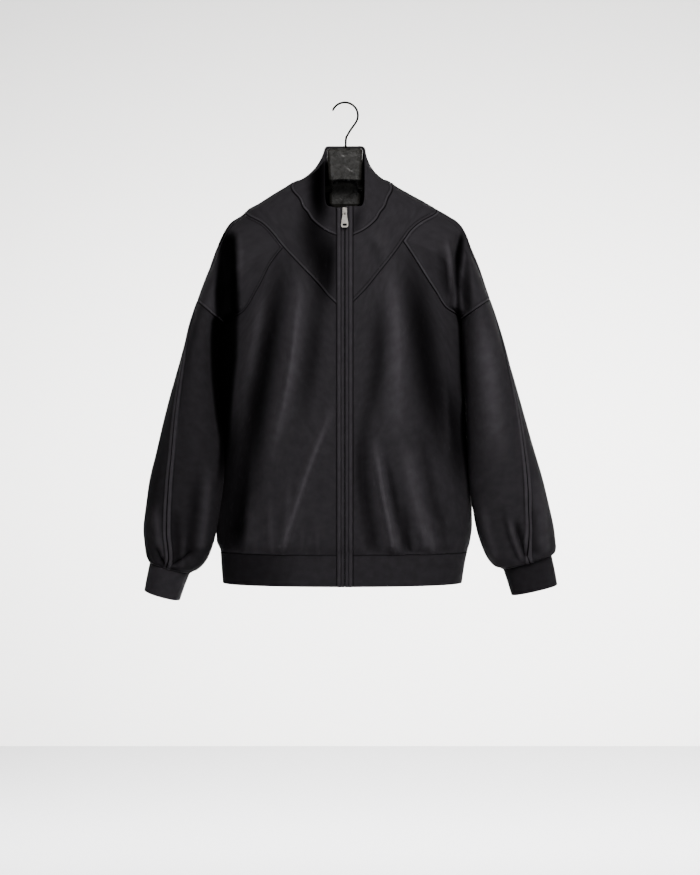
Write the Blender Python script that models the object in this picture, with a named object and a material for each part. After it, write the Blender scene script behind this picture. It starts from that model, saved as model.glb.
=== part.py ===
"""A full-zip sweatshirt jacket with a funnel collar, on a plain hanger.

Every cut piece of cloth is its own closed wall. All pieces are read from one set
of surfaces, worked out from the tables below, so that they meet along the seams.
Tables are in millimetres and degrees. +Z is up and the front faces -Y. The origin
is the seat of the hook. Left and right are the viewer's.
"""
import math
from collections import defaultdict, namedtuple

import bpy
import numpy as np

# ---------------------------------------------------------------- driving sizes
MM = 0.001
CLOTH = 2.2                 # wall of the double-faced jersey
COLLAR_CLOTH = 3.2          # two layers
BAND_CLOTH = 3.0            # cuffs and hem band
SEAM_GAP = 0.3
SHOULDER_GAP = 0.45         # drawn back further, where the cloth turns sharply
COLLAR_GAP = 0.35           # and where thick cloth meets thin
SHOULDER_L = (-168.0, -189.0)      # end of the shoulder seam
SHOULDER_R = (155.0, -184.0)
UNDERARM_L = -388.0
UNDERARM_R = -380.0
HEM_SEAM = -783.0
HEM_EDGE = -838.0
PLACKET_HALF = 14.0         # the placket is 28 mm wide
PLACKET_SPLIT = 0.9         # from the centre line to each placket's free edge
RIDGE_RISE = 2.4            # height of the placket's stitched ridges
TORSO_SQUARE = 2.3
SLEEVE_SQUARE = 2.2
COLLAR_SQUARE = 4.4

# ---------------------------------------------------------------- grid counts
V_INNER = 7                 # V seam, placket to arm seam
V_OUTER = 4                 # V seam, arm seam to shoulder
ARM_SEAM = 6                # arm seam, V seam to underarm
YOKE_ROWS = 5
DOWN_ROWS = 16              # underarm to hem seam
BACK_HALF = 11
BAND_ROWS = 3
COLLAR_ROWS = 4
SHOULDER_ROWS = 10
SLEEVE_ROWS = 14
CUFF_ROWS = 3
ARM_LOOP = V_OUTER + ARM_SEAM

# ---------------------------------------------------------------- tables
# side is the depth at which the ring is widest.
Ring = namedtuple("Ring", "z left right front back side")
TORSO = [
    Ring(-112, 58, 56, 22, 36, 0),
    Ring(-128, 76, 72, 28, 41, 0),
    Ring(-142, 93, 82, 36, 46, 0),
    Ring(-160, 122, 111, 46, 52, 0),
    Ring(-176, 147, 140, 55, 56, 0),
    Ring(-190, 170, 161, 62, 60, 0),
    Ring(-215, 181, 174, 71, 65, 2),
    Ring(-245, 188, 183, 79, 70, 6),
    Ring(-300, 194, 190, 87, 78, 16),
    Ring(-385, 200, 195, 93, 84, 28),
    Ring(-410, 216, 205, 93, 85, 29),
    Ring(-470, 225, 209, 93, 85, 29),
    Ring(-538, 221, 214, 92, 84, 29),
    Ring(-606, 212, 216, 92, 82, 28),
    Ring(-677, 214, 220, 91, 79, 26),
    Ring(-735, 221, 222, 90, 77, 16),
    Ring(-765, 222, 219, 88, 76, 10),
    Ring(-783, 217, 214, 82, 72, 8),
    Ring(-800, 216, 210, 81, 71, 6),
    Ring(-838, 213, 204, 78, 69, 4),
]

# Neck seam on the torso: angle from the centre front.
Neck = namedtuple("Neck", "angle z")
NECK = [Neck(0, -241), Neck(8.6, -226), Neck(15.7, -208), Neck(19, -195), Neck(35, -167),
        Neck(69, -146), Neck(90, -139), Neck(135, -132), Neck(180, -128)]

# V seam, from the placket out to the shoulder. Its outer part starts where the arm seam meets it.
Seam = namedtuple("Seam", "x z")
V_LEFT = [Seam(-14, -354), Seam(-38, -328), Seam(-60, -304), Seam(-86, -276), Seam(-105, -255)]
V_LEFT_OUT = [Seam(-105, -255), Seam(-125, -230), Seam(-145, -211)]
V_RIGHT = [Seam(14, -350), Seam(39, -324), Seam(55, -304), Seam(74, -280), Seam(99, -245)]
V_RIGHT_OUT = [Seam(99, -245), Seam(113, -226), Seam(133, -209)]
ARM_LEFT = [Seam(-105, -255), Seam(-128, -285), Seam(-150, -327), Seam(-176, -366)]
ARM_RIGHT = [Seam(99, -245), Seam(131, -293), Seam(155, -330), Seam(174, -358)]

# Top edge of the shoulder panels, from the shoulder seam over the hanger's end to the sleeve.
EDGE_LEFT = [Seam(-186, -198.5), Seam(-200, -208), Seam(-208, -219), Seam(-216, -234),
             Seam(-229, -267), Seam(-240, -300)]
EDGE_RIGHT = [Seam(180, -198), Seam(197, -209.5), Seam(207.5, -225), Seam(217.5, -251.5),
              Seam(231, -285), Seam(244, -325)]

# Direction in which the shoulder panels leave the torso, and how far it carries.
Leave = namedtuple("Leave", "along tilt reach")
LEAVE = [Leave(0, -30, 0.8), Leave(0.4, -5, 0.8), Leave(0.75, 25, 1.0), Leave(1, 90, 1.3)]

# Sleeve rings: outer and inner ends of each ring, its full depth, and how far its middle
# lies in front of or behind the hanger.
Cut = namedtuple("Cut", "out_x out_z in_x in_z depth lean")
SLEEVE_LEFT = [
    Cut(-254, -345, -213, -384, 150, -12), Cut(-267, -385, -219, -410, 154, -19),
    Cut(-284, -446, -223, -470, 148, -24), Cut(-306, -523, -217, -538, 140, -26),
    Cut(-325, -600, -211, -610, 128, -25), Cut(-341, -668, -214, -677, 114, -22),
    Cut(-350, -733, -225, -745, 104, -17), Cut(-348, -778, -240, -792, 96, -12),
    Cut(-344, -795, -258, -813, 90, -9), Cut(-339, -799, -272, -818, 76, -8),
]
SLEEVE_RIGHT = [
    Cut(250, -343, 205, -377, 150, -12), Cut(262, -380, 205, -408, 154, -19),
    Cut(283, -448, 207, -468, 150, -24), Cut(304, -520, 212, -536, 140, -26),
    Cut(326, -597, 214, -606, 128, -25), Cut(346, -664, 219, -674, 112, -22),
    Cut(362, -730, 230, -740, 100, -17), Cut(368, -770, 246, -786, 92, -12),
    Cut(366, -784, 264, -808, 84, -9), Cut(360, -786, 278, -811, 66, -8),
]
CUFF_LEFT = [Cut(-339.5, -800.1, -272.5, -819.2, 76, -8), Cut(-345, -825, -282, -843, 78, -7),
             Cut(-350, -850.5, -290.5, -867.5, 78, -6)]
CUFF_RIGHT = [Cut(360.0, -787.2, 278.5, -812.2, 64, -8), Cut(366, -814, 286, -835, 62, -7),
              Cut(371, -841, 293.5, -859, 60, -6)]

# The sleeve's seams swing to the front on the way down.
Swing = namedtuple("Swing", "down left right")
SWING = [Swing(0, 0, 0), Swing(0.08, 30, 14), Swing(0.25, 52, 34), Swing(0.45, 61, 47),
         Swing(0.65, 68, 60), Swing(0.85, 75, 74), Swing(1, 86, 88)]

# Largest folds: a path through three places, height (troughs are negative) and half width.
Fold = namedtuple("Fold", "x0 z0 x1 z1 x2 z2 rise spread")
FRONT_FOLDS = [
    Fold(-72, -305, -86, -440, -124, -620, 11, 16),
    Fold(-104, -310, -135, -480, -186, -726, -19, 18),
    Fold(-46, -330, -56, -450, -77, -576, -8, 14),
    Fold(-20, -222, -34, -300, -46, -392, -11, 17),
    Fold(-19, -526, -58, -625, -109, -779, 8, 12),
    Fold(-142, -330, -154, -400, -166, -500, 8, 15),
    Fold(80, -282, 84, -440, 104, -613, 12, 20),
    Fold(40, -320, 26, -518, 48, -774, -9, 15),
    Fold(55, -586, 68, -665, 91, -779, 10, 11),
    Fold(118, -290, 143, -480, 179, -689, -18, 20),
    Fold(160, -370, 172, -470, 179, -557, 6, 13),
    Fold(111, -637, 123, -689, 138, -770, 8, 11),
]
BACK_FOLDS = [
    Fold(-95, -300, -100, -480, -128, -700, 9, 20),
    Fold(-140, -330, -152, -500, -178, -720, -11, 18),
    Fold(-30, -290, -34, -460, -52, -660, -6, 18),
    Fold(20, -420, 34, -590, 60, -774, 8, 16),
    Fold(88, -290, 96, -450, 112, -640, 9, 19),
    Fold(136, -340, 150, -520, 172, -740, -12, 18),
]

# The deep valley between body and sleeve, below the hanger's end.
Valley = namedtuple("Valley", "z left right depth")
VALLEY = [Valley(-220, -206, 205, 0), Valley(-240, -204, 203, 9), Valley(-300, -202, 199, 24),
          Valley(-350, -204, 198, 33), Valley(-384, -206, 199, 36)]
VALLEY_SPREAD = 15.0

# ---------------------------------------------------------------- hook, hanger, slider and tab
WIRE = 3.8
HOOK_RADIUS = 22.75         # centre line of the wire
HOOK_START = 160.0          # degrees, measured from +X
HOOK_END = -37.0
HOOK_RUN = 16.0             # straight part below the bend
STEM_X = 1.6                # the stem stands a little off the hook's centre
STEM_BEND = (11.0, 17.0)    # from the straight part's end down through the bend to the stem
SOCKET_DEPTH = 8.0
SOCKET_GAP = 0.4
BLOCK_CORNER = 5.0
RECESS_TOP = -133.0
RECESS_FOOT = -168.0
RECESS_HALF = 21.5
RECESS_CORNER = 9.0
RECESS_DEPTH = 9.0
ARM_START = 22.0            # inside the block
ARM_END = 178.0
ARM_DEPTH = 34.0
ARM_HEIGHT = 17.0
ARM_CLEAR = 0.35            # below the cloth that the arms carry
TIP_START = 122.0           # from here out the arms sink away from the cloth
TIP_DROP = 6.0              # and lie this much lower at their ends
NECK_CLEAR_X = 92.0         # nearer the neck the arms drop clear of the neck seam
NECK_CLEAR_Z = -154.0
SLIDER_Z = -193.5
SLIDER_HEIGHT = 10.4
SLIDER_WIDTH = 8.6
SLIDER_DEPTH = 3.0
SLIDER_CORNER = 2.2
SLIDER_EDGE = (0.6, 0.7)    # width and depth of its softened front edge
ARCH_HALF = 1.2
ARCH_RISE = 4.4
ARCH_WALL = 1.3             # thickness of the arch over its window
SILL = 2.3                  # foot of the slider to the floor of its window
LINTEL = 3.0                # top of the slider to the top of its window
TAB_THICK = 1.8
TAB_STAND = 1.6             # the tab's middle, in front of the slider's face
TAB_AXIS = 1.6              # above the window's floor
EYE_HALF = 1.7
EYE_DEPTH = 6.4
SLOT = (3.8, 2.1, 2.0, 23.4)       # half width, half height, corner, and depth below the axis

# The hanger's neck block, from its top to its foot: half width and half depth.
Block = namedtuple("Block", "z half deep")
BLOCK = [Block(-79, 28, 10), Block(-83, 31.5, 12), Block(-133, 28.5, 12), Block(-176, 27, 12),
         Block(-182, 22, 9.5)]

# The tab's half width, counted down from its axis.
Flare = namedtuple("Flare", "down half")
TAB_OUTLINE = [Flare(-1, 3.5), Flare(6, 3.6), Flare(15, 5.0), Flare(24.5, 6.2), Flare(27, 5.4),
               Flare(28, 3.4)]

# ---------------------------------------------------------------- collar and zip
RIM_HALF = 35.5             # the collar's top edge: half width, middle and half depth
RIM_Y = -17.0
RIM_DEPTH = 59.0
RIM_FRONT_Z = -180.0
RIM_RISE = 111.0            # the back of the top edge stands this much higher than the front
COLLAR_DIP = 6.0            # the collar's sides curve in from a straight wall
COLLAR_SIDE = 0.29          # share of the collar's length at which its side lies
TAPE_HALF = 6.0
TAPE_THICK = 1.5
TAPE_BEHIND = 1.25          # between the backs of the plackets and the middle of the tape


# ---------------------------------------------------------------- curves
def smooth(xs, ys, x):
    """A smooth curve through the points (xs, ys) that never overshoots them."""
    xs, ys = np.asarray(xs, float), np.asarray(ys, float)
    if xs[0] > xs[-1]:
        xs, ys = xs[::-1], ys[::-1]
    step = np.diff(xs)
    slope = np.diff(ys) / step
    tangent = np.zeros(len(xs))
    same = slope[1:] * slope[:-1] > 0
    total = np.where(same, slope[1:] + slope[:-1], 1.0)
    tangent[1:-1] = np.where(same, 2 * slope[1:] * slope[:-1] / total, 0.0)
    tangent[0], tangent[-1] = slope[0], slope[-1]
    x = np.clip(np.asarray(x, float), xs[0], xs[-1])
    k = np.clip(np.searchsorted(xs, x, side="right") - 1, 0, len(step) - 1)
    h = step[k]
    t = (x - xs[k]) / h
    return ((1 + 2 * t) * (1 - t) ** 2 * ys[k] + t * (1 - t) ** 2 * h * tangent[k]
            + t * t * (3 - 2 * t) * ys[k + 1] + t * t * (t - 1) * h * tangent[k + 1])


def column(rows, key, value, x):
    """One named column of a table, read smoothly at x along another."""
    return smooth([getattr(r, key) for r in rows], [getattr(r, value) for r in rows], x)


def path(points, count):
    """count + 1 points at even distances on a smooth curve through the given ones."""
    points = np.asarray(points, float)
    run = np.r_[0, np.cumsum(np.linalg.norm(np.diff(points, axis=0), axis=1))]
    at = np.linspace(0, run[-1], count + 1)
    return np.stack([smooth(run, points[:, c], at) for c in range(points.shape[1])], axis=1)


def bell(x):
    return np.exp(-x * x)


def ease(x):
    x = np.clip(x, 0, 1)
    return x * x * (3 - 2 * x)


# ---------------------------------------------------------------- torso surface
def fold_height(folds, x, z):
    """Sum of the folds at (x, z); each fades in and out at its ends."""
    total = np.zeros(np.broadcast(x, z).shape)
    for f in folds:
        run = (f.z0 - z) / (f.z0 - f.z2)
        middle = (f.z0 - f.z1) / (f.z0 - f.z2)
        centre = smooth([0, middle, 1], [f.x0, f.x1, f.x2], run)
        fade = ease((run + 0.08) / 0.45) * ease((1.04 - run) / (0.12 if f.z2 < -700 else 0.5))
        total += f.rise * fade * bell((x - centre) / f.spread)
    return total


def torso(angle, z):
    """Point of the body of the garment; angle 0 is the centre front, 90 its right side."""
    angle, z = np.broadcast_arrays(np.asarray(angle, float), np.asarray(z, float))
    turn = np.radians(angle)
    s, c = np.sin(turn), np.cos(turn)
    half = np.where(s < 0, column(TORSO, "z", "left", z), column(TORSO, "z", "right", z))
    x = half * np.sign(s) * np.abs(s) ** (2 / TORSO_SQUARE)
    round_off = np.abs(c) ** (2 / TORSO_SQUARE)
    flat = ease(np.abs(c) / 0.45) * ease((np.abs(x) - PLACKET_HALF) / 18)
    widest = column(TORSO, "z", "side", z)
    front = (column(TORSO, "z", "front", z) + widest) * round_off + flat * fold_height(FRONT_FOLDS, x, z)
    back = (column(TORSO, "z", "back", z) - widest) * round_off
    back = back + ease(np.abs(c) / 0.45) * fold_height(BACK_FOLDS, x, z)
    return np.stack([x, widest + np.where(c > 0, -front, back), z], axis=-1)


def torso_angle(x, z):
    """The angle at which the front of the torso has the given x."""
    x = np.asarray(x, float)
    half = np.where(x < 0, column(TORSO, "z", "left", z), column(TORSO, "z", "right", z))
    ratio = np.clip(np.abs(x) / half, 0, 1)
    return np.sign(x) * np.degrees(np.arcsin(ratio ** (TORSO_SQUARE / 2)))


def neck_z(angle):
    return column(NECK, "angle", "z", np.abs(angle))


# ---------------------------------------------------------------- seams on the torso
class Side:
    """The tables of one side. sign is -1 on the left and 1 on the right."""

    def __init__(self, sign):
        left = sign < 0
        self.sign = sign
        self.letter = "L" if left else "R"
        self.v_inner = V_LEFT if left else V_RIGHT
        self.v_outer = V_LEFT_OUT if left else V_RIGHT_OUT
        self.arm = ARM_LEFT if left else ARM_RIGHT
        self.edge = EDGE_LEFT if left else EDGE_RIGHT
        self.sleeve = SLEEVE_LEFT if left else SLEEVE_RIGHT
        self.cuff = CUFF_LEFT if left else CUFF_RIGHT
        self.shoulder_z = (SHOULDER_L if left else SHOULDER_R)[1]
        self.underarm_z = UNDERARM_L if left else UNDERARM_R
        self.swing = "left" if left else "right"


def seam_line(rows, count, last=None):
    """Angle and height along a front seam; last closes it on the side of the torso."""
    points = [(float(torso_angle(r.x, r.z)), r.z) for r in rows]
    if last is not None:
        points.append(last)
    spots = np.array(points)
    run = torso(spots[:, 0], spots[:, 1])
    length = np.r_[0, np.cumsum(np.linalg.norm(np.diff(run, axis=0), axis=1))]
    at = np.linspace(0, length[-1], count + 1)
    return np.stack([smooth(length, spots[:, 0], at), smooth(length, spots[:, 1], at)], axis=1)


def v_inner_seam(side):
    return seam_line(side.v_inner, V_INNER)


def v_outer_seam(side):
    return seam_line(side.v_outer, V_OUTER, (90 * side.sign, side.shoulder_z))


def arm_seam(side):
    return seam_line(side.arm, ARM_SEAM, (90 * side.sign, side.underarm_z))


def back_arm_angle(side, z):
    """The back armhole: a plain curve from the shoulder down to the underarm."""
    share = np.clip((z - side.underarm_z) / (side.shoulder_z - side.underarm_z), 0, 1)
    return 90 + 36 * 4 * share * (1 - share)


# ---------------------------------------------------------------- panels of the torso
def yoke_grid(side):
    """From the V seam up to the neck seam, and from the placket out to the shoulder."""
    low = np.vstack([v_inner_seam(side), v_outer_seam(side)[1:]])
    count = len(low) - 1
    u = np.linspace(0, 1, count + 1)
    v = np.linspace(0, 1, YOKE_ROWS + 1)
    front = float(torso_angle(side.sign * PLACKET_HALF, -236.0))
    high_angle = front + (90 * side.sign - front) * u ** 1.25
    high = np.stack([high_angle, neck_z(high_angle)], axis=1)
    edge_z = low[0, 1] + (high[0, 1] - low[0, 1]) * v
    edge = np.stack([torso_angle(np.full(len(v), side.sign * PLACKET_HALF), edge_z), edge_z], axis=1)
    top_z = low[-1, 1] + (high[-1, 1] - low[-1, 1]) * v
    top = np.stack([np.full(len(v), 90.0 * side.sign), top_z], axis=1)
    u, v = u[:, None, None], v[None, :, None]
    patch = (low[:, None] * (1 - v) + high[:, None] * v + edge[None] * (1 - u) + top[None] * u
             - low[0] * (1 - u) * (1 - v) - low[-1] * u * (1 - v)
             - high[0] * (1 - u) * v - high[-1] * u * v)
    return torso(patch[..., 0], patch[..., 1])


def lower_front_grid(side):
    """From the hem seam up to the V seam and the arm seam."""
    top = np.vstack([v_inner_seam(side), arm_seam(side)[1:]])
    count = len(top) - 1
    start = float(torso_angle(side.sign * PLACKET_HALF, HEM_SEAM))
    low_angle = np.linspace(start, 90 * side.sign, count + 1)
    v = np.linspace(0, 1, DOWN_ROWS + 1)[None, :]
    z = HEM_SEAM + (top[:, 1:2] - HEM_SEAM) * v
    angle = low_angle[:, None] + (top[:, 0:1] - low_angle[:, None]) * v
    angle[0] = torso_angle(np.full(DOWN_ROWS + 1, side.sign * PLACKET_HALF), z[0])
    return torso(angle, z)


def back_grid(left, right):
    """Rows from the hem up to the underarm, the shoulder and the neck seam."""
    u = np.linspace(0, 1, 2 * BACK_HALF + 1)
    rows = []

    def row(angle_right, angle_left, z_right, z_left):
        angle = angle_right + (360 - angle_left - angle_right) * u
        rows.append((angle, z_right + (z_left - z_right) * ease(u)))

    for v in np.linspace(0, 1, DOWN_ROWS + 1):
        row(90, 90, *(HEM_SEAM + (s.underarm_z - HEM_SEAM) * v for s in (right, left)))
    for v in np.linspace(0, 1, ARM_LOOP + 1)[1:]:
        heights = [s.underarm_z + (s.shoulder_z - s.underarm_z) * v for s in (right, left)]
        angles = [back_arm_angle(s, z) for s, z in zip((right, left), heights)]
        row(*angles, *heights)
    angle, low = rows[-1]
    high = neck_z(np.where(angle > 180, 360 - angle, angle))
    for v in np.linspace(0, 1, YOKE_ROWS + 1)[1:]:
        rows.append((angle, low + (high - low) * v))
    return np.stack([torso(a, z) for a, z in rows], axis=1)


# ---------------------------------------------------------------- sleeves
def sleeve_ring(rows, down, turn):
    """Point of a tube made from rings; turn 0 is outer, 90 front, 180 inner."""
    ends = [((r.out_x, r.out_z), (r.in_x, r.in_z)) for r in rows]
    middle = np.array([((a[0] + b[0]) / 2, (a[1] + b[1]) / 2) for a, b in ends])
    run = np.r_[0, np.cumsum(np.linalg.norm(np.diff(middle, axis=0), axis=1))]
    at = np.asarray(down, float) * run[-1]
    half = [[(a[c] - b[c]) / 2 for a, b in ends] for c in (0, 1)]
    cx, cz = smooth(run, middle[:, 0], at), smooth(run, middle[:, 1], at)
    ax, az = smooth(run, half[0], at), smooth(run, half[1], at)
    depth = smooth(run, [r.depth / 2 for r in rows], at)
    cy = smooth(run, [r.lean for r in rows], at)
    a = np.radians(turn)
    across = np.sign(np.cos(a)) * np.abs(np.cos(a)) ** (2 / SLEEVE_SQUARE)
    forth = np.sign(np.sin(a)) * np.abs(np.sin(a)) ** (2 / SLEEVE_SQUARE)
    return np.stack([cx + ax * across, cy - depth * forth, cz + az * across], axis=-1)


def sleeve(side, turn, down):
    """turn counts from the overarm seam, which swings to the front on the way down."""
    swing = column(SWING, "down", side.swing, down)
    return sleeve_ring(side.sleeve, down, turn + swing)


def sleeve_grid(side, first, last):
    share = np.linspace(0, 1, SLEEVE_ROWS + 1)
    down = 1 - (1 - share) ** 1.25
    turn = np.linspace(first, last, ARM_LOOP + 1)
    return sleeve(side, turn[:, None], down[None, :])


def cuff_grid(side):
    turn = np.linspace(0, 360, 2 * ARM_LOOP + 1)[:-1] + getattr(SWING[-1], side.swing)
    down = np.linspace(0, 1, CUFF_ROWS + 1)
    return sleeve_ring(side.cuff, down[None, :], turn[:, None])


# ---------------------------------------------------------------- shoulder panels
def loop_on_torso(side, front):
    """The torso's side of a shoulder panel, from the shoulder seam to the underarm."""
    if front:
        return np.vstack([v_outer_seam(side)[::-1], arm_seam(side)[1:]])
    z = np.linspace(side.shoulder_z, side.underarm_z, ARM_LOOP + 1)
    angle = back_arm_angle(side, z)
    return np.stack([angle if side.sign > 0 else -angle, z], axis=1)


def surface_normal(surface, a, b, step=0.05):
    """Unit normal of surface(a, b) by differences."""
    da = surface(a + step, b) - surface(a - step, b)
    db = surface(a, b + step) - surface(a, b - step)
    normal = np.cross(da, db)
    return normal / np.maximum(np.linalg.norm(normal, axis=-1, keepdims=True), 1e-9)


def valley(side, point, share, span):
    """Push the cloth in along the valley, but not at the seams at share 0 and 1."""
    x, y, z = point[..., 0], point[..., 1], point[..., 2]
    centre = column(VALLEY, "z", side.swing, z)
    depth = column(VALLEY, "z", "depth", z) * ease((-216 - z) / 30)
    push = depth * bell((x - centre) / VALLEY_SPREAD) * ease((np.abs(y) - 12) / 30)
    push = push * ease(span / 130) * ease(share / 0.2) * ease((1 - share) / 0.14)
    moved = point.copy()
    moved[..., 1] = y - np.sign(y) * np.minimum(push, np.maximum(np.abs(y) - 14, 0))
    return moved


def shoulder_grid(side, front):
    """From the torso's armhole seam out to the dropped sleeve seam."""
    loop = loop_on_torso(side, front)
    along = np.linspace(0, 1, len(loop))
    start = torso(loop[:, 0], loop[:, 1])
    turn = 180 * along if front else 360 - 180 * along
    end = sleeve(side, turn, np.zeros(len(loop)))
    onward = sleeve_ring(side.sleeve, np.full(len(loop), 0.02), turn) - end
    onward /= np.linalg.norm(onward, axis=1, keepdims=True)
    distance = np.linalg.norm(end - start, axis=1, keepdims=True)
    tilt = np.radians(column(LEAVE, "along", "tilt", along))
    leave = np.stack([side.sign * np.cos(tilt), 0 * tilt, np.sin(tilt)], axis=1)
    normal = surface_normal(torso, loop[:, 0], loop[:, 1])
    leave -= normal * np.sum(leave * normal, axis=1, keepdims=True)
    leave[0] = (side.sign * math.cos(math.radians(30)), 0, -math.sin(math.radians(30)))
    leave[-1] = (0, 0, 1)
    leave /= np.linalg.norm(leave, axis=1, keepdims=True)
    reach = column(LEAVE, "along", "reach", along)[:, None] * distance
    v = np.linspace(0, 1, SHOULDER_ROWS + 1)[None, :, None]
    loft = ((1 + 2 * v) * (1 - v) ** 2 * start[:, None] + v * (1 - v) ** 2 * (leave * reach)[:, None]
            + v * v * (3 - 2 * v) * end[:, None] + v * v * (v - 1) * (onward * 0.8 * distance)[:, None])
    edge_xz = [(start[0, 0], start[0, 2])] + [tuple(e) for e in side.edge] + [(end[0, 0], end[0, 2])]
    edge = path(edge_xz, SHOULDER_ROWS)
    edge = np.stack([edge[:, 0], end[0, 1] * ease(v[0, :, 0]), edge[:, 1]], axis=1)
    near = (1 - ease(along / 0.62))[:, None, None]
    loft = loft + near * (edge - loft[0])[None]
    return valley(side, loft, v[..., 0], distance)


# ---------------------------------------------------------------- collar and placket
def rim(share):
    """The collar's top edge: share 0 is the centre front and 1 the centre front again."""
    angle = np.radians(360 * share)
    s, c = np.sin(angle), np.cos(angle)
    x = RIM_HALF * np.sign(s) * np.abs(s) ** (2 / COLLAR_SQUARE)
    y = RIM_Y - RIM_DEPTH * np.sign(c) * np.abs(c) ** (2 / COLLAR_SQUARE)
    back = (y - RIM_Y + RIM_DEPTH) / (2 * RIM_DEPTH)
    z = RIM_FRONT_Z + RIM_RISE * ease(back) ** 0.9
    return np.stack([x, y, z], axis=-1)


def even_rim(share):
    """The top edge by length, between the placket's two edges."""
    fine = np.linspace(0, 1, 721)
    points = rim(fine)
    run = np.r_[0, np.cumsum(np.linalg.norm(np.diff(points, axis=0), axis=1))]
    first = np.interp(PLACKET_HALF, points[:180, 0], run[:180])
    at = first + (run[-1] - 2 * first) * share
    return rim(np.interp(at, run, fine))


def collar_grid(neck):
    """neck is the seam, from the right placket edge round the back to the left one."""
    run = np.r_[0, np.cumsum(np.linalg.norm(np.diff(neck, axis=0), axis=1))]
    share = run / run[-1]
    top = even_rim(share)
    v = np.linspace(0, 1, COLLAR_ROWS + 1)[None, :, None]
    grid = neck[:, None] * (1 - v) + top[:, None] * v
    along = np.gradient(top + neck, axis=0)
    out = np.cross(along, top - neck)
    out /= np.linalg.norm(out, axis=1, keepdims=True)
    dip = -COLLAR_DIP * bell((np.minimum(share, 1 - share) - COLLAR_SIDE) / 0.13)
    return grid + out[:, None] * dip[:, None, None] * 4 * v * (1 - v)


def placket_grid(side, edge):
    """edge is the line of points on the neighbours' edges, hem to collar."""
    steps = np.linspace(PLACKET_SPLIT / PLACKET_HALF, 1, 5)
    grid = np.repeat(edge[None], len(steps), axis=0)
    grid[..., 0] = steps[:, None] * edge[None, :, 0]
    grid[..., 1] -= 0.5 * (1 - steps[:, None])
    return grid


# ---------------------------------------------------------------- walls
class Panel:
    """A grid of points on the middle of a wall, before it is given its thickness."""

    def __init__(self, name, grid, thick, colour, rise=None, closed=False, heart=None,
                 gap=SEAM_GAP / 2):
        self.name, self.grid, self.thick, self.colour = name, np.array(grid), thick, colour
        self.rise = np.zeros(self.grid.shape[:2]) if rise is None else rise
        self.closed = closed
        self.gap = gap
        self.normal = self.find_normals(heart)

    def find_normals(self, heart):
        g = self.grid
        if self.closed:
            da = np.roll(g, -1, axis=0) - np.roll(g, 1, axis=0)
        else:
            da = np.gradient(g, axis=0)
        normal = np.cross(da, np.gradient(g, axis=1))
        normal /= np.maximum(np.linalg.norm(normal, axis=-1, keepdims=True), 1e-9)
        inside = g * (0, 0, 1) if heart is None else np.asarray(heart, float)
        if np.sum(normal * (g - inside)) < 0:
            normal = -normal
        return normal

    def keys(self):
        return [[tuple(np.round(p / 0.02).astype(int)) for p in line] for line in self.grid]


def share_normals(panels):
    """Panels that meet at a seam get the same normal there, so their walls line up."""
    sums = defaultdict(lambda: np.zeros(3))
    for panel in panels:
        for line_keys, line in zip(panel.keys(), panel.normal):
            for key, normal in zip(line_keys, line):
                sums[key] += normal
    for panel in panels:
        for i, line_keys in enumerate(panel.keys()):
            for j, key in enumerate(line_keys):
                total = sums[key]
                panel.normal[i, j] = total / max(np.linalg.norm(total), 1e-9)


def trimmed(panel):
    """Draw each open edge back by half the seam gap, square to the edge."""
    g = panel.grid.copy()
    moves = np.zeros(g.shape)

    def draw_back(edge, inner, write):
        along = np.gradient(edge, axis=0)
        if panel.closed:
            along = np.roll(edge, -1, axis=0) - np.roll(edge, 1, axis=0)
        along /= np.maximum(np.linalg.norm(along, axis=1, keepdims=True), 1e-9)
        inward = inner - edge
        inward -= along * np.sum(inward * along, axis=1, keepdims=True)
        inward /= np.maximum(np.linalg.norm(inward, axis=1, keepdims=True), 1e-9)
        write(inward * panel.gap)

    draw_back(g[:, 0], g[:, 1], lambda m: moves[:, 0].__iadd__(m))
    draw_back(g[:, -1], g[:, -2], lambda m: moves[:, -1].__iadd__(m))
    if not panel.closed:
        draw_back(g[0], g[1], lambda m: moves[0].__iadd__(m))
        draw_back(g[-1], g[-2], lambda m: moves[-1].__iadd__(m))
    return g + moves


def material(name, colour, roughness, metallic=0.0):
    found = bpy.data.materials.get(name)
    if found:
        return found
    made = bpy.data.materials.new(name)
    made.use_nodes = True
    shader = made.node_tree.nodes["Principled BSDF"]
    shader.inputs["Base Color"].default_value = (*colour, 1)
    shader.inputs["Roughness"].default_value = roughness
    shader.inputs["Metallic"].default_value = metallic
    return made


def solid(name, points, faces, finish):
    """A closed mesh from points in millimetres, its faces turned outward."""
    corners = np.asarray(points, float)
    volume = 0.0
    for face in faces:
        for k in range(1, len(face) - 1):
            a, b, c = corners[face[0]], corners[face[k]], corners[face[k + 1]]
            volume += np.dot(a, np.cross(b, c))
    if volume < 0:
        faces = [tuple(reversed(face)) for face in faces]
    mesh = bpy.data.meshes.new(name)
    mesh.from_pydata((corners * MM).tolist(), [], faces)
    mesh.shade_smooth()
    mesh.set_sharp_from_angle(angle=math.radians(40))
    thing = bpy.data.objects.new(name, mesh)
    thing.data.materials.append(finish)
    bpy.context.scene.collection.objects.link(thing)
    return thing


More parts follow.
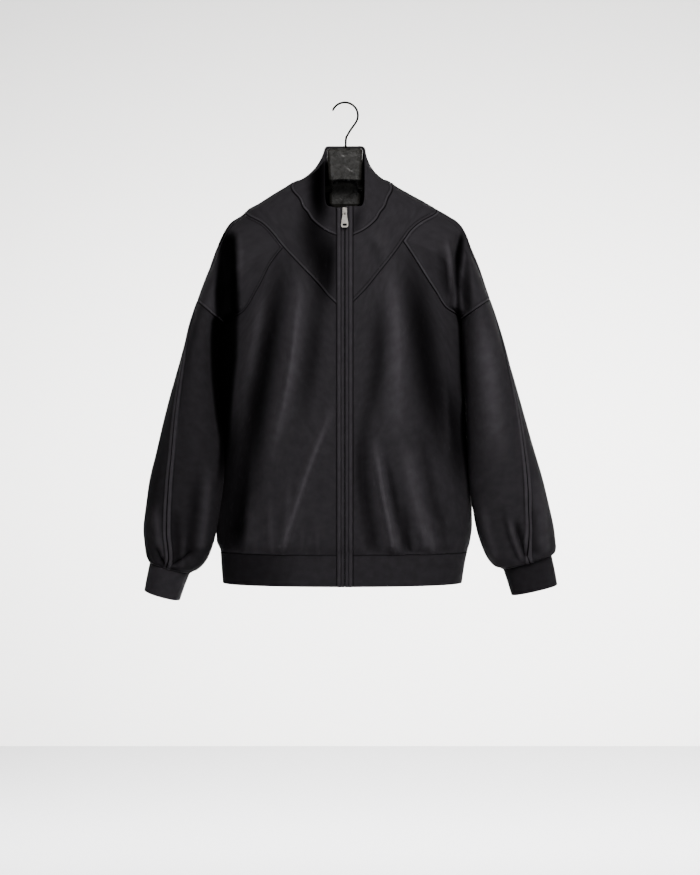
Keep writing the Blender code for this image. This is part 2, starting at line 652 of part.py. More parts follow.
def wall(panel):
    """Outer and inner skins of a panel, closed round its edges."""
    middle = trimmed(panel)
    half = panel.thick / 2
    outer = middle + panel.normal * (half + panel.rise)[..., None]
    inner = middle - panel.normal * half
    n, m = middle.shape[:2]
    points = np.concatenate([outer.reshape(-1, 3), inner.reshape(-1, 3)])
    faces = []

    def at(i, j, layer):
        return layer * n * m + (i % n) * m + j

    for i in range(n if panel.closed else n - 1):
        for j in range(m - 1):
            ends = (i, (i + 1) % n)
            one = np.linalg.norm(middle[ends[0], j] - middle[ends[1], j + 1])
            two = np.linalg.norm(middle[ends[1], j] - middle[ends[0], j + 1])
            for layer in (0, 1):
                a, b = at(i, j, layer), at(i + 1, j, layer)
                c, d = at(i + 1, j + 1, layer), at(i, j + 1, layer)
                halves = [(a, b, c), (a, c, d)] if one <= two else [(a, b, d), (b, c, d)]
                faces += [h if layer == 0 else h[::-1] for h in halves]
        for j, flip in ((0, True), (m - 1, False)):
            rim_face = (at(i, j, 0), at(i + 1, j, 0), at(i + 1, j, 1), at(i, j, 1))
            faces.append(rim_face[::-1] if flip else rim_face)
    if not panel.closed:
        for j in range(m - 1):
            for i, flip in ((0, False), (n - 1, True)):
                side_face = (at(i, j, 0), at(i, j + 1, 0), at(i, j + 1, 1), at(i, j, 1))
                faces.append(side_face[::-1] if flip else side_face)
    return solid(panel.name, points, faces, panel.colour)


# ---------------------------------------------------------------- hard pieces
def tube(name, line, radius, sides, finish):
    """A round bar along a line in the XZ plane, with flat ends."""
    line = np.asarray(line, float)
    along = np.gradient(line, axis=0)
    along /= np.linalg.norm(along, axis=1, keepdims=True)
    side_way = np.cross(along, (0, 1, 0))
    points, faces = [], []
    for p, s in zip(line, side_way):
        for k in range(sides):
            a = 2 * math.pi * (k + 0.5) / sides
            points.append(p + radius * (math.cos(a) * s + math.sin(a) * np.array((0, 1, 0))))
    for i in range(len(line) - 1):
        for k in range(sides):
            a, b = i * sides + k, i * sides + (k + 1) % sides
            faces.append((a, b, b + sides, a + sides))
    faces.append(tuple(range(sides))[::-1])
    faces.append(tuple(range((len(line) - 1) * sides, len(line) * sides)))
    return solid(name, points, faces, finish)


def hook(finish):
    """Round hook whose seat, the inner top of the bend, is the origin."""
    centre_z = WIRE / 2 - HOOK_RADIUS
    turns = np.radians(np.linspace(HOOK_START, HOOK_END, 19))
    arc = np.stack([HOOK_RADIUS * np.cos(turns), 0 * turns, centre_z + HOOK_RADIUS * np.sin(turns)], 1)
    way = arc[-1] - arc[-2]
    neck = arc[-1] + way / np.linalg.norm(way) * HOOK_RUN
    bend, straight = STEM_BEND
    tail = np.array([neck, (STEM_X + 1.0, 0, neck[2] - bend), (STEM_X, 0, neck[2] - straight),
                     (STEM_X, 0, BLOCK[0].z - SOCKET_DEPTH)])
    return tube("hanger_hook", np.vstack([arc, tail]), WIRE / 2, 10, finish)


def lofted(name, rings, finish):
    """A closed body through rings of points that all have the same count."""
    count = len(rings[0])
    points = [p for ring in rings for p in ring]
    faces = []
    for i in range(len(rings) - 1):
        for k in range(count):
            a, b = i * count + k, i * count + (k + 1) % count
            faces.append((a, b, b + count, a + count))
    faces.append(tuple(range(count))[::-1])
    faces.append(tuple(range(len(points) - count, len(points))))
    return solid(name, points, faces, finish)


def apply_boolean(target, tool, operation):
    """Join or cut, then leave the result as plain mesh."""
    change = target.modifiers.new(operation.lower(), "BOOLEAN")
    change.operation = operation
    change.object = tool
    change.solver = "EXACT"
    bpy.context.view_layer.update()
    shaped = bpy.data.meshes.new_from_object(target.evaluated_get(bpy.context.evaluated_depsgraph_get()))
    target.modifiers.clear()
    target.data = shaped
    bpy.data.objects.remove(tool)


def rounded_outline(half_x, half_y, corner, steps=3):
    """Corners of a rounded rectangle, counted round once."""
    ring = []
    for quarter, (sx, sy) in enumerate(((1, 1), (-1, 1), (-1, -1), (1, -1))):
        for k in range(steps + 1):
            a = math.radians(90 * quarter + 90 * k / steps)
            ring.append((sx * (half_x - corner) + corner * math.cos(a),
                         sy * (half_y - corner) + corner * math.sin(a)))
    return ring


def arm_line(sign):
    """Centre line of a hanger arm, just under the shoulder seam's inner side."""
    xs = np.linspace(ARM_START, ARM_END, 9)
    zs = np.linspace(TORSO[0].z, min(SHOULDER_L[1], SHOULDER_R[1]) - 1, 400)
    ridge = []
    for x in xs:
        half = column(TORSO, "z", "left" if sign < 0 else "right", zs)
        side = EDGE_LEFT if sign < 0 else EDGE_RIGHT
        tip = SHOULDER_L if sign < 0 else SHOULDER_R
        if x > abs(tip[0]):
            over = path([tip] + [tuple(e) for e in side[:2]], 30)
            ridge.append(np.interp(x, np.abs(over[:, 0]), over[:, 1]))
        else:
            under_neck = NECK_CLEAR_Z + (NECK_CLEAR_X - x) * 0.2
            seam = np.interp(x, half, zs)
            ridge.append(min(seam, under_neck) if x < NECK_CLEAR_X + 4 else seam)
    ridge = np.array(ridge)
    slope = np.gradient(ridge, xs)
    drop = (CLOTH / 2 + ARM_CLEAR) * np.sqrt(1 + slope ** 2)
    return xs, ridge - drop - TIP_DROP * ease((xs - TIP_START) / 40)


def hanger_body(finish):
    """Neck block with a rounded recess and a socket, and two plain arms."""
    rings = [[(x, y, r.z) for x, y in rounded_outline(r.half, r.deep, BLOCK_CORNER)] for r in BLOCK]
    block = lofted("hanger_body", rings, finish)
    middle, half = (RECESS_TOP + RECESS_FOOT) / 2, (RECESS_TOP - RECESS_FOOT) / 2
    recess = [[(x, y, z + middle) for x, z in rounded_outline(RECESS_HALF, half, RECESS_CORNER)]
              for y in (-BLOCK[2].deep - 4, -BLOCK[2].deep + RECESS_DEPTH)]
    apply_boolean(block, lofted("recess", recess, finish), "DIFFERENCE")
    socket_line = [(STEM_X, 0, BLOCK[0].z + 4), (STEM_X, 0, BLOCK[0].z - SOCKET_DEPTH - SOCKET_GAP)]
    apply_boolean(block, tube("socket", socket_line, WIRE / 2 + SOCKET_GAP, 10, finish), "DIFFERENCE")
    for sign in (-1, 1):
        xs, tops = arm_line(sign)
        rings = []
        for k, (x, top) in enumerate(zip(xs, tops)):
            end = k / (len(xs) - 1)
            high = ARM_HEIGHT / 2 * (1 - 0.35 * ease((end - 0.6) / 0.4))
            deep = ARM_DEPTH / 2 * (1 - 0.6 * ease((end - 0.45) / 0.55))
            ring = []
            for a in np.radians(np.arange(0, 360, 30)):
                ring.append((sign * x, deep * math.cos(a), top - high + high * math.sin(a)))
            rings.append(ring)
        apply_boolean(block, lofted("arm", rings, finish), "UNION")
    block.data.materials.clear()
    block.data.materials.append(finish)
    return block


def box(x0, x1, y0, y1, z0, z1):
    corners = [(x, y, z) for x in (x0, x1) for y in (y0, y1) for z in (z0, z1)]
    faces = [(0, 1, 3, 2), (4, 6, 7, 5), (0, 4, 5, 1), (2, 3, 7, 6), (0, 2, 6, 4), (1, 5, 7, 3)]
    return corners, faces


def slider(front_y, finish):
    """Body, with an arch that the tab's bar passes through."""
    top, foot = SLIDER_Z + SLIDER_HEIGHT / 2, SLIDER_Z - SLIDER_HEIGHT / 2
    inset, inset_depth = SLIDER_EDGE
    rings = []
    for y, draw in ((front_y, inset), (front_y + inset_depth, 0.0), (front_y + SLIDER_DEPTH, 0.0)):
        ring = rounded_outline(SLIDER_WIDTH / 2 - draw, SLIDER_HEIGHT / 2 - draw, SLIDER_CORNER)
        rings.append([(x, y, SLIDER_Z + z) for x, z in ring])
    body = lofted("zip_slider", rings, finish)
    arch = box(-ARCH_HALF, ARCH_HALF, front_y - ARCH_RISE, front_y + 1.0,
               foot + SILL - 1.1, top - LINTEL + 1.6)
    apply_boolean(body, solid("arch", *arch, finish), "UNION")
    window = box(-3, 3, front_y - ARCH_RISE + ARCH_WALL, front_y, foot + SILL, top - LINTEL)
    apply_boolean(body, solid("window", *window, finish), "DIFFERENCE")


def tab_axis_z():
    return SLIDER_Z - SLIDER_HEIGHT / 2 + SILL + TAB_AXIS


def pull_tab(front_y, finish):
    """A flared plate with an eye for the slider's arch and a slot near its foot."""
    y, top = front_y - TAB_STAND, tab_axis_z()
    right_edge = [(t.half, -t.down) for t in TAB_OUTLINE]
    outline = right_edge + [(-x, z) for x, z in right_edge[::-1]]
    plate = [[(x, y + side * TAB_THICK / 2, top + z) for x, z in outline] for side in (-1, 1)]
    tab = lofted("pull_tab", plate, finish)
    eye = box(-EYE_HALF, EYE_HALF, y - 3, y + 3, top - EYE_DEPTH, top - TAB_THICK / 2)
    apply_boolean(tab, solid("eye", *eye, finish), "DIFFERENCE")
    half, high, corner, down = SLOT
    slot = [[(x, y + d, top - down + z) for x, z in rounded_outline(half, high, corner)] for d in (-3, 3)]
    apply_boolean(tab, lofted("slot", slot, finish), "DIFFERENCE")
    for corner in tab.data.vertices:
        corner.co.z -= top * MM
        corner.co.y -= y * MM
    tab.location = (0, y * MM, top * MM)


# ---------------------------------------------------------------- assembly
def build():
    for thing in list(bpy.data.objects):
        bpy.data.objects.remove(thing)
    cloth = material("black_jersey", (0.018, 0.017, 0.019), 0.85)
    band = material("black_band", (0.016, 0.015, 0.017), 0.85)
    tape = material("zip_tape", (0.01, 0.01, 0.01), 0.7)
    plastic = material("hanger_plastic", (0.012, 0.012, 0.013), 0.25)
    wire = material("hook_wire", (0.02, 0.02, 0.02), 0.3, 0.6)
    metal = material("zip_metal", (0.62, 0.59, 0.54), 0.3, 1.0)
    left, right = Side(-1), Side(1)

    panels, yokes, fronts = [], {}, {}
    for side in (left, right):
        yokes[side.letter] = yoke_grid(side)
        fronts[side.letter] = lower_front_grid(side)
        heart = (side.sign * 150, 0, -290)
        panels += [
            Panel("front_yoke_" + side.letter, yokes[side.letter], CLOTH, cloth),
            Panel("front_lower_" + side.letter, fronts[side.letter], CLOTH, cloth),
            Panel("shoulder_front_" + side.letter, shoulder_grid(side, True), CLOTH, cloth,
                  heart=heart, gap=SHOULDER_GAP),
            Panel("shoulder_back_" + side.letter, shoulder_grid(side, False), CLOTH, cloth,
                  heart=heart, gap=SHOULDER_GAP),
        ]
        halves = {"front": sleeve_grid(side, 0, 180), "back": sleeve_grid(side, 180, 360)}
        axis = (halves["front"] + halves["back"]) / 2
        for name, grid in halves.items():
            panels.append(Panel(f"sleeve_{name}_{side.letter}", grid, CLOTH, cloth, heart=axis))
        cuff = cuff_grid(side)
        panels.append(Panel("cuff_" + side.letter, cuff, BAND_CLOTH, band, closed=True,
                            heart=cuff.mean(axis=0, keepdims=True)))
    back = back_grid(left, right)
    panels.append(Panel("back", back, CLOTH, cloth))

    hem_line = np.vstack([fronts["R"][:, 0], back[1:, 0], fronts["L"][::-1, 0][1:]])
    hem_angle = np.r_[np.linspace(float(torso_angle(PLACKET_HALF, HEM_SEAM)), 90, len(fronts["R"])),
                      np.linspace(90, 270, len(back))[1:],
                      np.linspace(270, 360 + float(torso_angle(-PLACKET_HALF, HEM_SEAM)),
                                  len(fronts["L"]))[1:]]
    levels = np.linspace(HEM_EDGE, HEM_SEAM, BAND_ROWS + 1)
    hem = torso(hem_angle[:, None], levels[None])
    hem[:, -1] = hem_line
    hem[0, :, 0], hem[-1, :, 0] = PLACKET_HALF, -PLACKET_HALF
    panels.append(Panel("hem_band", hem, BAND_CLOTH, band))

    neck = np.vstack([yokes["R"][:, -1], back[1:, -1], yokes["L"][::-1, -1][1:]])
    collar = collar_grid(neck)
    panels.append(Panel("collar", collar, COLLAR_CLOTH, cloth, heart=(0, -15, -150), gap=COLLAR_GAP))

    plackets = {}
    for side, end in ((right, 0), (left, -1)):
        edge = np.vstack([hem[end, :-1], fronts[side.letter][0, :-1], yokes[side.letter][0, :-1],
                          collar[end]])
        grid = placket_grid(side, edge)
        plackets[side.letter] = grid
        ridge = np.array([0.3, 1.0, 0.0, 1.0, 0.0]) * RIDGE_RISE
        rise = np.repeat(ridge[:, None], grid.shape[1], axis=1)
        rise[:, -1] *= 0.5
        panels.append(Panel("placket_" + side.letter, grid, CLOTH, cloth, rise=rise,
                            heart=(0, 60, -500)))
    share_normals(panels)
    for panel in panels:
        wall(panel)

    chain_edge = plackets["R"][0]
    chain = np.repeat(chain_edge[None], 3, axis=0)
    chain[..., 0] = np.array([-TAPE_HALF, 0.0, TAPE_HALF])[:, None]
    chain[..., 1] += CLOTH / 2 + TAPE_BEHIND
    wall(Panel("zip_chain", chain, TAPE_THICK, tape, heart=(0, 60, -500)))

    hook(wire)
    hanger_body(plastic)
    near = np.argmin(np.abs(chain_edge[:, 2] - SLIDER_Z))
    front_y = chain_edge[near, 1] - CLOTH / 2 - RIDGE_RISE - 0.3 - SLIDER_DEPTH
    slider(front_y, metal)
    pull_tab(front_y, metal)


build()
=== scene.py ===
"""The looks of the full-zip sweatshirt jacket on its hanger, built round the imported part.

Tables are in millimetres and degrees. They are those of the part, in places set closer to the
photo, with finer folds added.
+Z is up and the front faces -Y. Left and right are the viewer's.
"""
import math
from collections import namedtuple

import bpy
import numpy as np
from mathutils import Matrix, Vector


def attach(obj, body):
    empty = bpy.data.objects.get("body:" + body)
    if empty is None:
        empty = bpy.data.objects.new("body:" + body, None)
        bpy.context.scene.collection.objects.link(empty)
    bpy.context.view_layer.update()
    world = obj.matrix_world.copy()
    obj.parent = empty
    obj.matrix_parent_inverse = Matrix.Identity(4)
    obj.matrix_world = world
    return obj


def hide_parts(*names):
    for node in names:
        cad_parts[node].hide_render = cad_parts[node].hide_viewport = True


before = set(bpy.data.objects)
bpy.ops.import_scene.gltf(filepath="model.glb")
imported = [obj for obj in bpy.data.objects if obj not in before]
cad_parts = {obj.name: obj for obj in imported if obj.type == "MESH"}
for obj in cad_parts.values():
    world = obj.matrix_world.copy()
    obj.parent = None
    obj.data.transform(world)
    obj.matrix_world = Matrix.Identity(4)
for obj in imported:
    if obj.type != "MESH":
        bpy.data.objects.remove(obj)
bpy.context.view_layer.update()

# ---------------------------------------------------------------- camera, floor and light
MM = 0.001
PHOTO_WIDTH = 36                # of the camera's sensor
CAMERA = (9.0, -3400.0, -500.0)
CAMERA_TILT = 88.6              # degrees from looking straight down
LENS = 79.85
FLOOR_Z = -1800.0
WALL_Y = 3660.0
STAGE = 9000.0                  # half width of the wall and the floor
WALL_TOP = 6000.0
FLOOR_FRONT = -6000.0


def new_thing(name, points, faces, finish, smooth_faces=True):
    """A mesh from points in millimetres, linked to the scene, with its finish."""
    mesh = bpy.data.meshes.new(name)
    mesh.from_pydata((np.reshape(points, (-1, 3)) * MM).tolist(), [], faces)
    mesh.polygons.foreach_set("use_smooth", [smooth_faces] * len(faces))
    mesh.materials.append(finish)
    thing = bpy.data.objects.new(name, mesh)
    bpy.context.scene.collection.objects.link(thing)
    return thing


def studio():
    """Camera at the photo's place, a pale floor and wall, and soft lights."""
    scene = bpy.context.scene
    data = bpy.data.cameras.new("camera")
    data.lens, data.sensor_width = LENS, PHOTO_WIDTH
    data.clip_start, data.clip_end = 0.05, 40
    camera = bpy.data.objects.new("camera", data)
    camera.location = Vector(CAMERA) * MM
    camera.rotation_euler = (math.radians(CAMERA_TILT), 0, 0)
    scene.collection.objects.link(camera)
    scene.camera = camera

    world = bpy.data.worlds.new("studio_air")
    scene.world = world
    world.use_nodes = True
    sky = world.node_tree.nodes["Background"]
    sky.inputs["Color"].default_value = (1.0, 0.985, 0.97, 1)
    sky.inputs["Strength"].default_value = 0.04

    def lamp(name, place, aim, wide, high, watts, colour=(1, 1, 1)):
        light = bpy.data.lights.new(name, "AREA")
        light.shape, light.size, light.size_y = "RECTANGLE", wide, high
        light.energy, light.color = watts, colour
        thing = bpy.data.objects.new(name, light)
        thing.location = place
        thing.rotation_euler = (Vector(aim) - Vector(place)).to_track_quat("-Z", "Y").to_euler()
        scene.collection.objects.link(thing)

    lamp("key", (0.7, -2.9, 1.7), (0.0, 0, -0.5), 0.8, 0.8, 120, (1.0, 0.985, 0.97))
    lamp("fill", (-0.5, -3.3, -0.2), (0.0, 0, -0.5), 0.6, 0.6, 5, (0.97, 0.98, 1.0))
    lamp("wall_light", (0.7, 1.5, -0.5), (0.7, 3.66, -1.3), 5.0, 0.5, 480)

    wall_paint = plain_finish("stage_paint", (0.80, 0.79, 0.775), 0.9)
    floor_paint = plain_finish("floor_paint", (0.62, 0.62, 0.63), 0.8)
    for name, (y0, z0), (y1, z1), finish in (
            ("stage_wall", (WALL_Y, FLOOR_Z), (WALL_Y, WALL_TOP), wall_paint),
            ("stage_floor", (FLOOR_FRONT, FLOOR_Z), (WALL_Y, FLOOR_Z), floor_paint)):
        corners = [(-STAGE, y0, z0), (STAGE, y0, z0), (STAGE, y1, z1), (-STAGE, y1, z1)]
        new_thing(name, corners, [(0, 1, 2, 3)], finish, False)


# ---------------------------------------------------------------- finishes
def new_finish(name):
    made = bpy.data.materials.new(name)
    made.use_nodes = True
    return made, made.node_tree, made.node_tree.nodes["Principled BSDF"]


def node(tree, kind, **values):
    made = tree.nodes.new(kind)
    for key, value in values.items():
        if key in made.inputs:
            made.inputs[key].default_value = value
        else:
            setattr(made, key, value)
    return made


def join(tree, *pairs):
    for start, end in pairs:
        tree.links.new(start, end)


def sum_or_product(tree, operation, first, second):
    """ADD or MULTIPLY a socket with another socket or with a number."""
    made = node(tree, "ShaderNodeMath", operation=operation)
    tree.links.new(first, made.inputs[0])
    if isinstance(second, float):
        made.inputs[1].default_value = second
    else:
        tree.links.new(second, made.inputs[1])
    return made.outputs[0]


def scaled(tree, vector, factor):
    made = node(tree, "ShaderNodeVectorMath", operation="SCALE")
    join(tree, (vector, made.inputs[0]), (factor, made.inputs["Scale"]))
    return made.outputs[0]


def mixed(tree, share, dark, pale):
    made = node(tree, "ShaderNodeMix", data_type="RGBA")
    made.inputs[6].default_value, made.inputs[7].default_value = (*dark, 1), (*pale, 1)
    tree.links.new(share, made.inputs[0])
    return made.outputs[2]


def uneven_tone(tree, share, colour, low, high):
    return mixed(tree, share, [c * low for c in colour], [min(c * high, 1) for c in colour])


def ranged(tree, value, low, high, dark, pale, kind="LINEAR"):
    """A value from low to high, mapped to dark to pale."""
    made = node(tree, "ShaderNodeMapRange", interpolation_type=kind,
                **{"From Min": low, "From Max": high, "To Min": dark, "To Max": pale})
    tree.links.new(value, made.inputs["Value"])
    return made.outputs[0]


def plain_finish(name, colour, roughness):
    """A painted surface with a faint uneven tone."""
    made, tree, shader = new_finish(name)
    place = node(tree, "ShaderNodeTexCoord")
    cloud = node(tree, "ShaderNodeTexNoise", Scale=1.3, Detail=3.0)
    tone = uneven_tone(tree, cloud.outputs["Fac"], colour, 0.985, 1.015)
    join(tree, (place.outputs["Object"], cloud.inputs["Vector"]), (tone, shader.inputs["Base Color"]))
    shader.inputs["Roughness"].default_value = roughness
    return made


def knit_group():
    """Effect of fine knit: columns of loops with a soft nap, as a height, and a mottled tone."""
    group = bpy.data.node_groups.new("fine_knit", "ShaderNodeTree")
    for name, way in (("Columns per metre", "INPUT"), ("Nap", "INPUT"), ("Height", "OUTPUT"),
                      ("Tone", "OUTPUT")):
        group.interface.new_socket(name, in_out=way, socket_type="NodeSocketFloat")
    enter, leave = node(group, "NodeGroupInput"), node(group, "NodeGroupOutput")
    place = node(group, "ShaderNodeUVMap")
    grown = scaled(group, place.outputs["UV"], enter.outputs["Columns per metre"])
    columns, rows = (node(group, "ShaderNodeTexWave", wave_type="BANDS", bands_direction=way,
                          wave_profile="SIN", Scale=scale, Distortion=warp, Detail=1.0)
                     for way, scale, warp in (("X", 0.314, 1.2), ("Y", 0.42, 1.6)))
    fuzz = node(group, "ShaderNodeTexNoise", Scale=1.7, Detail=3.0)
    blotch = node(group, "ShaderNodeTexNoise", Scale=0.06, Detail=4.0)
    join(group, *[(grown, texture.inputs["Vector"]) for texture in (columns, rows, fuzz, blotch)])
    weave = sum_or_product(group, "MULTIPLY", columns.outputs["Fac"], rows.outputs["Fac"])
    fluffy = sum_or_product(group, "MULTIPLY", fuzz.outputs["Fac"], enter.outputs["Nap"])
    join(group, (sum_or_product(group, "ADD", weave, fluffy), leave.inputs["Height"]),
         (blotch.outputs["Fac"], leave.inputs["Tone"]))
    return group


PALEST = 1.55                   # how much paler than its own colour the cloth is painted where the painted shading is 1
CLOTH_GLEAM = 0.22


def cloth_finish(name, knit, dark, pale, columns, nap, sheen):
    """Mottled knit, whose colour, gleam and sheen are scaled by painted shading: painted highlight on folds,
    painted shade in hollows and seams.
    """
    made, tree, shader = new_finish(name)
    effect = node(tree, "ShaderNodeGroup")
    effect.node_tree = knit
    effect.inputs["Columns per metre"].default_value = columns
    effect.inputs["Nap"].default_value = nap
    tone = mixed(tree, ranged(tree, effect.outputs["Tone"], 0.3, 0.7, 0.0, 1.0), dark, pale)
    bump = node(tree, "ShaderNodeBump", Strength=0.35, Distance=0.0003)
    # painted light and shade: this attribute scales the cloth's colour, gleam and sheen
    drape = node(tree, "ShaderNodeAttribute", attribute_name="drape")
    painted_brightness = ranged(tree, drape.outputs["Fac"], -1.0, 1.0, 0.0, PALEST)
    join(tree, (scaled(tree, tone, painted_brightness), shader.inputs["Base Color"]),
         (sum_or_product(tree, "MULTIPLY", painted_brightness, CLOTH_GLEAM), shader.inputs["Specular IOR Level"]),
         (sum_or_product(tree, "MULTIPLY", painted_brightness, sheen), shader.inputs["Sheen Weight"]),
         (effect.outputs["Height"], bump.inputs["Height"]), (bump.outputs[0], shader.inputs["Normal"]))
    shader.inputs["Roughness"].default_value = 0.85
    shader.inputs["Sheen Roughness"].default_value = 0.45
    shader.inputs["Sheen Tint"].default_value = (0.86, 0.82, 0.9, 1)
    return made


RECESS_ROOF = (-0.132, -0.135)  # heights in metres between which the recess darkens,
RECESS_FOOT = (-0.150, -0.172)  # and between which it turns paler again


def recess_shade(tree, place, colour):
    """Darkens a colour inside the hanger block's recess, which gets little light."""
    split = node(tree, "ShaderNodeSeparateXYZ")
    tree.links.new(place.outputs["Object"], split.inputs[0])
    roof = ranged(tree, split.outputs["Z"], *RECESS_ROOF, 1.0, 0.12, "SMOOTHSTEP")
    foot = ranged(tree, split.outputs["Z"], *RECESS_FOOT, 0.0, 0.6, "SMOOTHSTEP")
    both = sum_or_product(tree, "ADD", roof, foot)
    return scaled(tree, colour, both), both


def hard_finish(name, colour, roughness, metallic, scale, bump_depth, uneven, recess=False,
                shine=0.5):
    """Metal or plastic whose gloss and surface vary over it."""
    made, tree, shader = new_finish(name)
    place = node(tree, "ShaderNodeTexCoord")
    cloud = node(tree, "ShaderNodeTexNoise", Scale=scale, Detail=3.0, Distortion=0.2)
    spots = cloud.outputs["Fac"]
    gloss = ranged(tree, spots, 0.0, 1.0, max(roughness - uneven, 0.02), roughness + uneven)
    base = uneven_tone(tree, spots, colour, 0.7, 1.3)
    bump = node(tree, "ShaderNodeBump", Strength=0.6, Distance=bump_depth)
    if recess:
        base, dim = recess_shade(tree, place, base)
        tree.links.new(sum_or_product(tree, "MULTIPLY", dim, shine), shader.inputs["Specular IOR Level"])
    else:
        shader.inputs["Specular IOR Level"].default_value = shine
    join(tree, (place.outputs["Object"], cloud.inputs["Vector"]), (spots, bump.inputs["Height"]),
         (gloss, shader.inputs["Roughness"]), (base, shader.inputs["Base Color"]),
         (bump.outputs[0], shader.inputs["Normal"]))
    shader.inputs["Metallic"].default_value = metallic
    return made


# ---------------------------------------------------------------- sizes
CLOTH = 2.2
COLLAR_CLOTH = 3.2
BAND_CLOTH = 3.0
SHOULDER_Z = (-189.0, -184.0)   # left and right
UNDERARM_Z = (-388.0, -380.0)
HEM_SEAM = -783.0
HEM_EDGE = -838.0
PLACKET_HALF = 14.0
PLACKET_SPLIT = 0.9
PLACKET_NECK = -236.0           # height at which its outer edge meets the neck seam
VALLEY_TOP = -216.0             # start of the valley between body and sleeve, and of its shade
TORSO_SQUARE = 2.3
SLEEVE_SQUARE = 2.2
COLLAR_SQUARE = 5.4
V_SHARE_YOKE = 7 / 11           # where the arm seam meets the V seam, along the yoke's foot
V_SHARE_FRONT = 7 / 13          # and along the lower front's top edge
V_SHARE_LOOP = 4 / 10           # and along the shoulder panel


def table(kind, *rows):
    """A list of rows of one kind, so that each column can be called by its name."""
    return [kind(*row) for row in rows]


# side is the depth at which a ring is widest. A cut has the outer and inner ends of a sleeve's
# ring, its full depth, and how far its middle lies in front of or behind the hanger. A fold is
# a path through three places, its height (troughs are negative) and its half width.
Ring = namedtuple("Ring", "z left right front back side")
Neck = namedtuple("Neck", "angle z")
Seam = namedtuple("Seam", "x z")
Leave = namedtuple("Leave", "along tilt reach")
Cut = namedtuple("Cut", "out_x out_z in_x in_z depth lean")
Swing = namedtuple("Swing", "down left right")
Fold = namedtuple("Fold", "x0 z0 x1 z1 x2 z2 rise spread")
Valley = namedtuple("Valley", "z left right depth")
Shade = namedtuple("Shade", "z left_out left_in right_in right_out")
Tone = namedtuple("Tone", "x tone")

TORSO = table(
    Ring,
    (-112, 58, 56, 22, 36, 0),
    (-128, 76, 72, 28, 41, 0),
    (-142, 93, 82, 36, 46, 0),
    (-160, 122, 111, 46, 52, 0),
    (-176, 147, 140, 55, 56, 0),
    (-190, 170, 161, 62, 60, 0),
    (-215, 181, 174, 71, 65, 2),
    (-245, 188, 183, 79, 70, 6),
    (-300, 194, 190, 87, 78, 16),
    (-385, 213, 206.5, 93, 84, 28),
    (-396, 219, 208, 93, 85, 28),
    (-410, 221, 208, 93, 85, 29),
    (-470, 225, 209, 93, 85, 29),
    (-538, 221, 214, 92, 84, 29),
    (-606, 215.5, 217.5, 92, 82, 28),
    (-677, 220, 223, 91, 79, 26),
    (-735, 225.5, 223, 90, 77, 16),
    (-765, 224, 219, 88, 76, 10),
    (-783, 217, 214, 82, 72, 8),
    (-800, 216, 210, 81, 71, 6),
    (-838, 213, 204, 78, 69, 4),
)

# Neck seam on the torso: angle from the centre front.
NECK = table(Neck, (0, -241), (8.6, -226), (15.7, -208), (19, -195), (35, -167),
             (69, -146), (90, -139), (135, -132), (180, -128))

# V seam, from the placket out to the shoulder. Its outer part starts where the arm seam meets it.
V_LEFT = table(Seam, (-14, -354), (-38, -328), (-60, -304), (-86, -276), (-105, -255))
V_LEFT_OUT = table(Seam, (-105, -255), (-125, -230), (-145, -211))
V_RIGHT = table(Seam, (14, -350), (39, -324), (55, -304), (74, -280), (99, -245))
V_RIGHT_OUT = table(Seam, (99, -245), (113, -226), (133, -209))
ARM_LEFT = table(Seam, (-105, -255), (-128, -285), (-150, -327), (-176, -366))
ARM_RIGHT = table(Seam, (99, -245), (131, -293), (155, -330), (174, -358))

# Top edge of the shoulder panels, from the shoulder seam over the hanger's end to the sleeve.
EDGE_LEFT = table(Seam, (-186, -198.5), (-200, -208), (-208, -219), (-216, -234),
                  (-229, -267), (-240, -300))
EDGE_RIGHT = table(Seam, (180, -198), (197, -209.5), (207.5, -225), (217.5, -251.5),
                   (231, -285), (244, -325))

# Direction in which the shoulder panels leave the torso, and how far it carries.
LEAVE = table(Leave, (0, -30, 0.8), (0.4, -5, 0.8), (0.75, 25, 1.0), (1, 90, 1.3))

SLEEVE_LEFT = table(
    Cut,
    (-254, -345, -213, -384, 150, -12), (-267, -385, -219, -410, 154, -19),
    (-284, -446, -223, -470, 148, -24), (-306, -523, -217, -538, 140, -26),
    (-325, -600, -211, -610, 128, -25), (-341, -668, -214, -677, 114, -22),
    (-350, -733, -225, -745, 104, -17), (-348, -778, -240, -792, 96, -12),
    (-344, -795, -258, -813, 90, -9), (-339, -799, -272, -818, 76, -8),
)
SLEEVE_RIGHT = table(
    Cut,
    (250, -343, 205, -377, 150, -12), (262, -380, 205, -408, 154, -19),
    (283, -448, 207, -468, 150, -24), (304, -520, 212, -536, 140, -26),
    (326, -597, 214, -606, 128, -25), (346, -664, 219, -674, 112, -22),
    (362, -730, 230, -740, 100, -17), (368, -770, 246, -786, 92, -12),
    (366, -784, 264, -808, 84, -9), (360, -786, 278, -811, 66, -8),
)
CUFF_LEFT = table(Cut, (-339.5, -800.1, -272.5, -819.2, 76, -8), (-345, -825, -282, -843, 78, -7),
                  (-350, -850.5, -290.5, -867.5, 78, -6))
CUFF_RIGHT = table(Cut, (360.0, -787.2, 278.5, -812.2, 64, -8), (366, -814, 286, -835, 62, -7),
                   (371, -841, 293.5, -859, 60, -6))

# The sleeve's seams swing to the front on the way down.
SWING = table(Swing, (0, 0, 0), (0.08, 30, 14), (0.25, 52, 34), (0.45, 61, 47),
              (0.65, 68, 60), (0.85, 75, 74), (1, 86, 88))

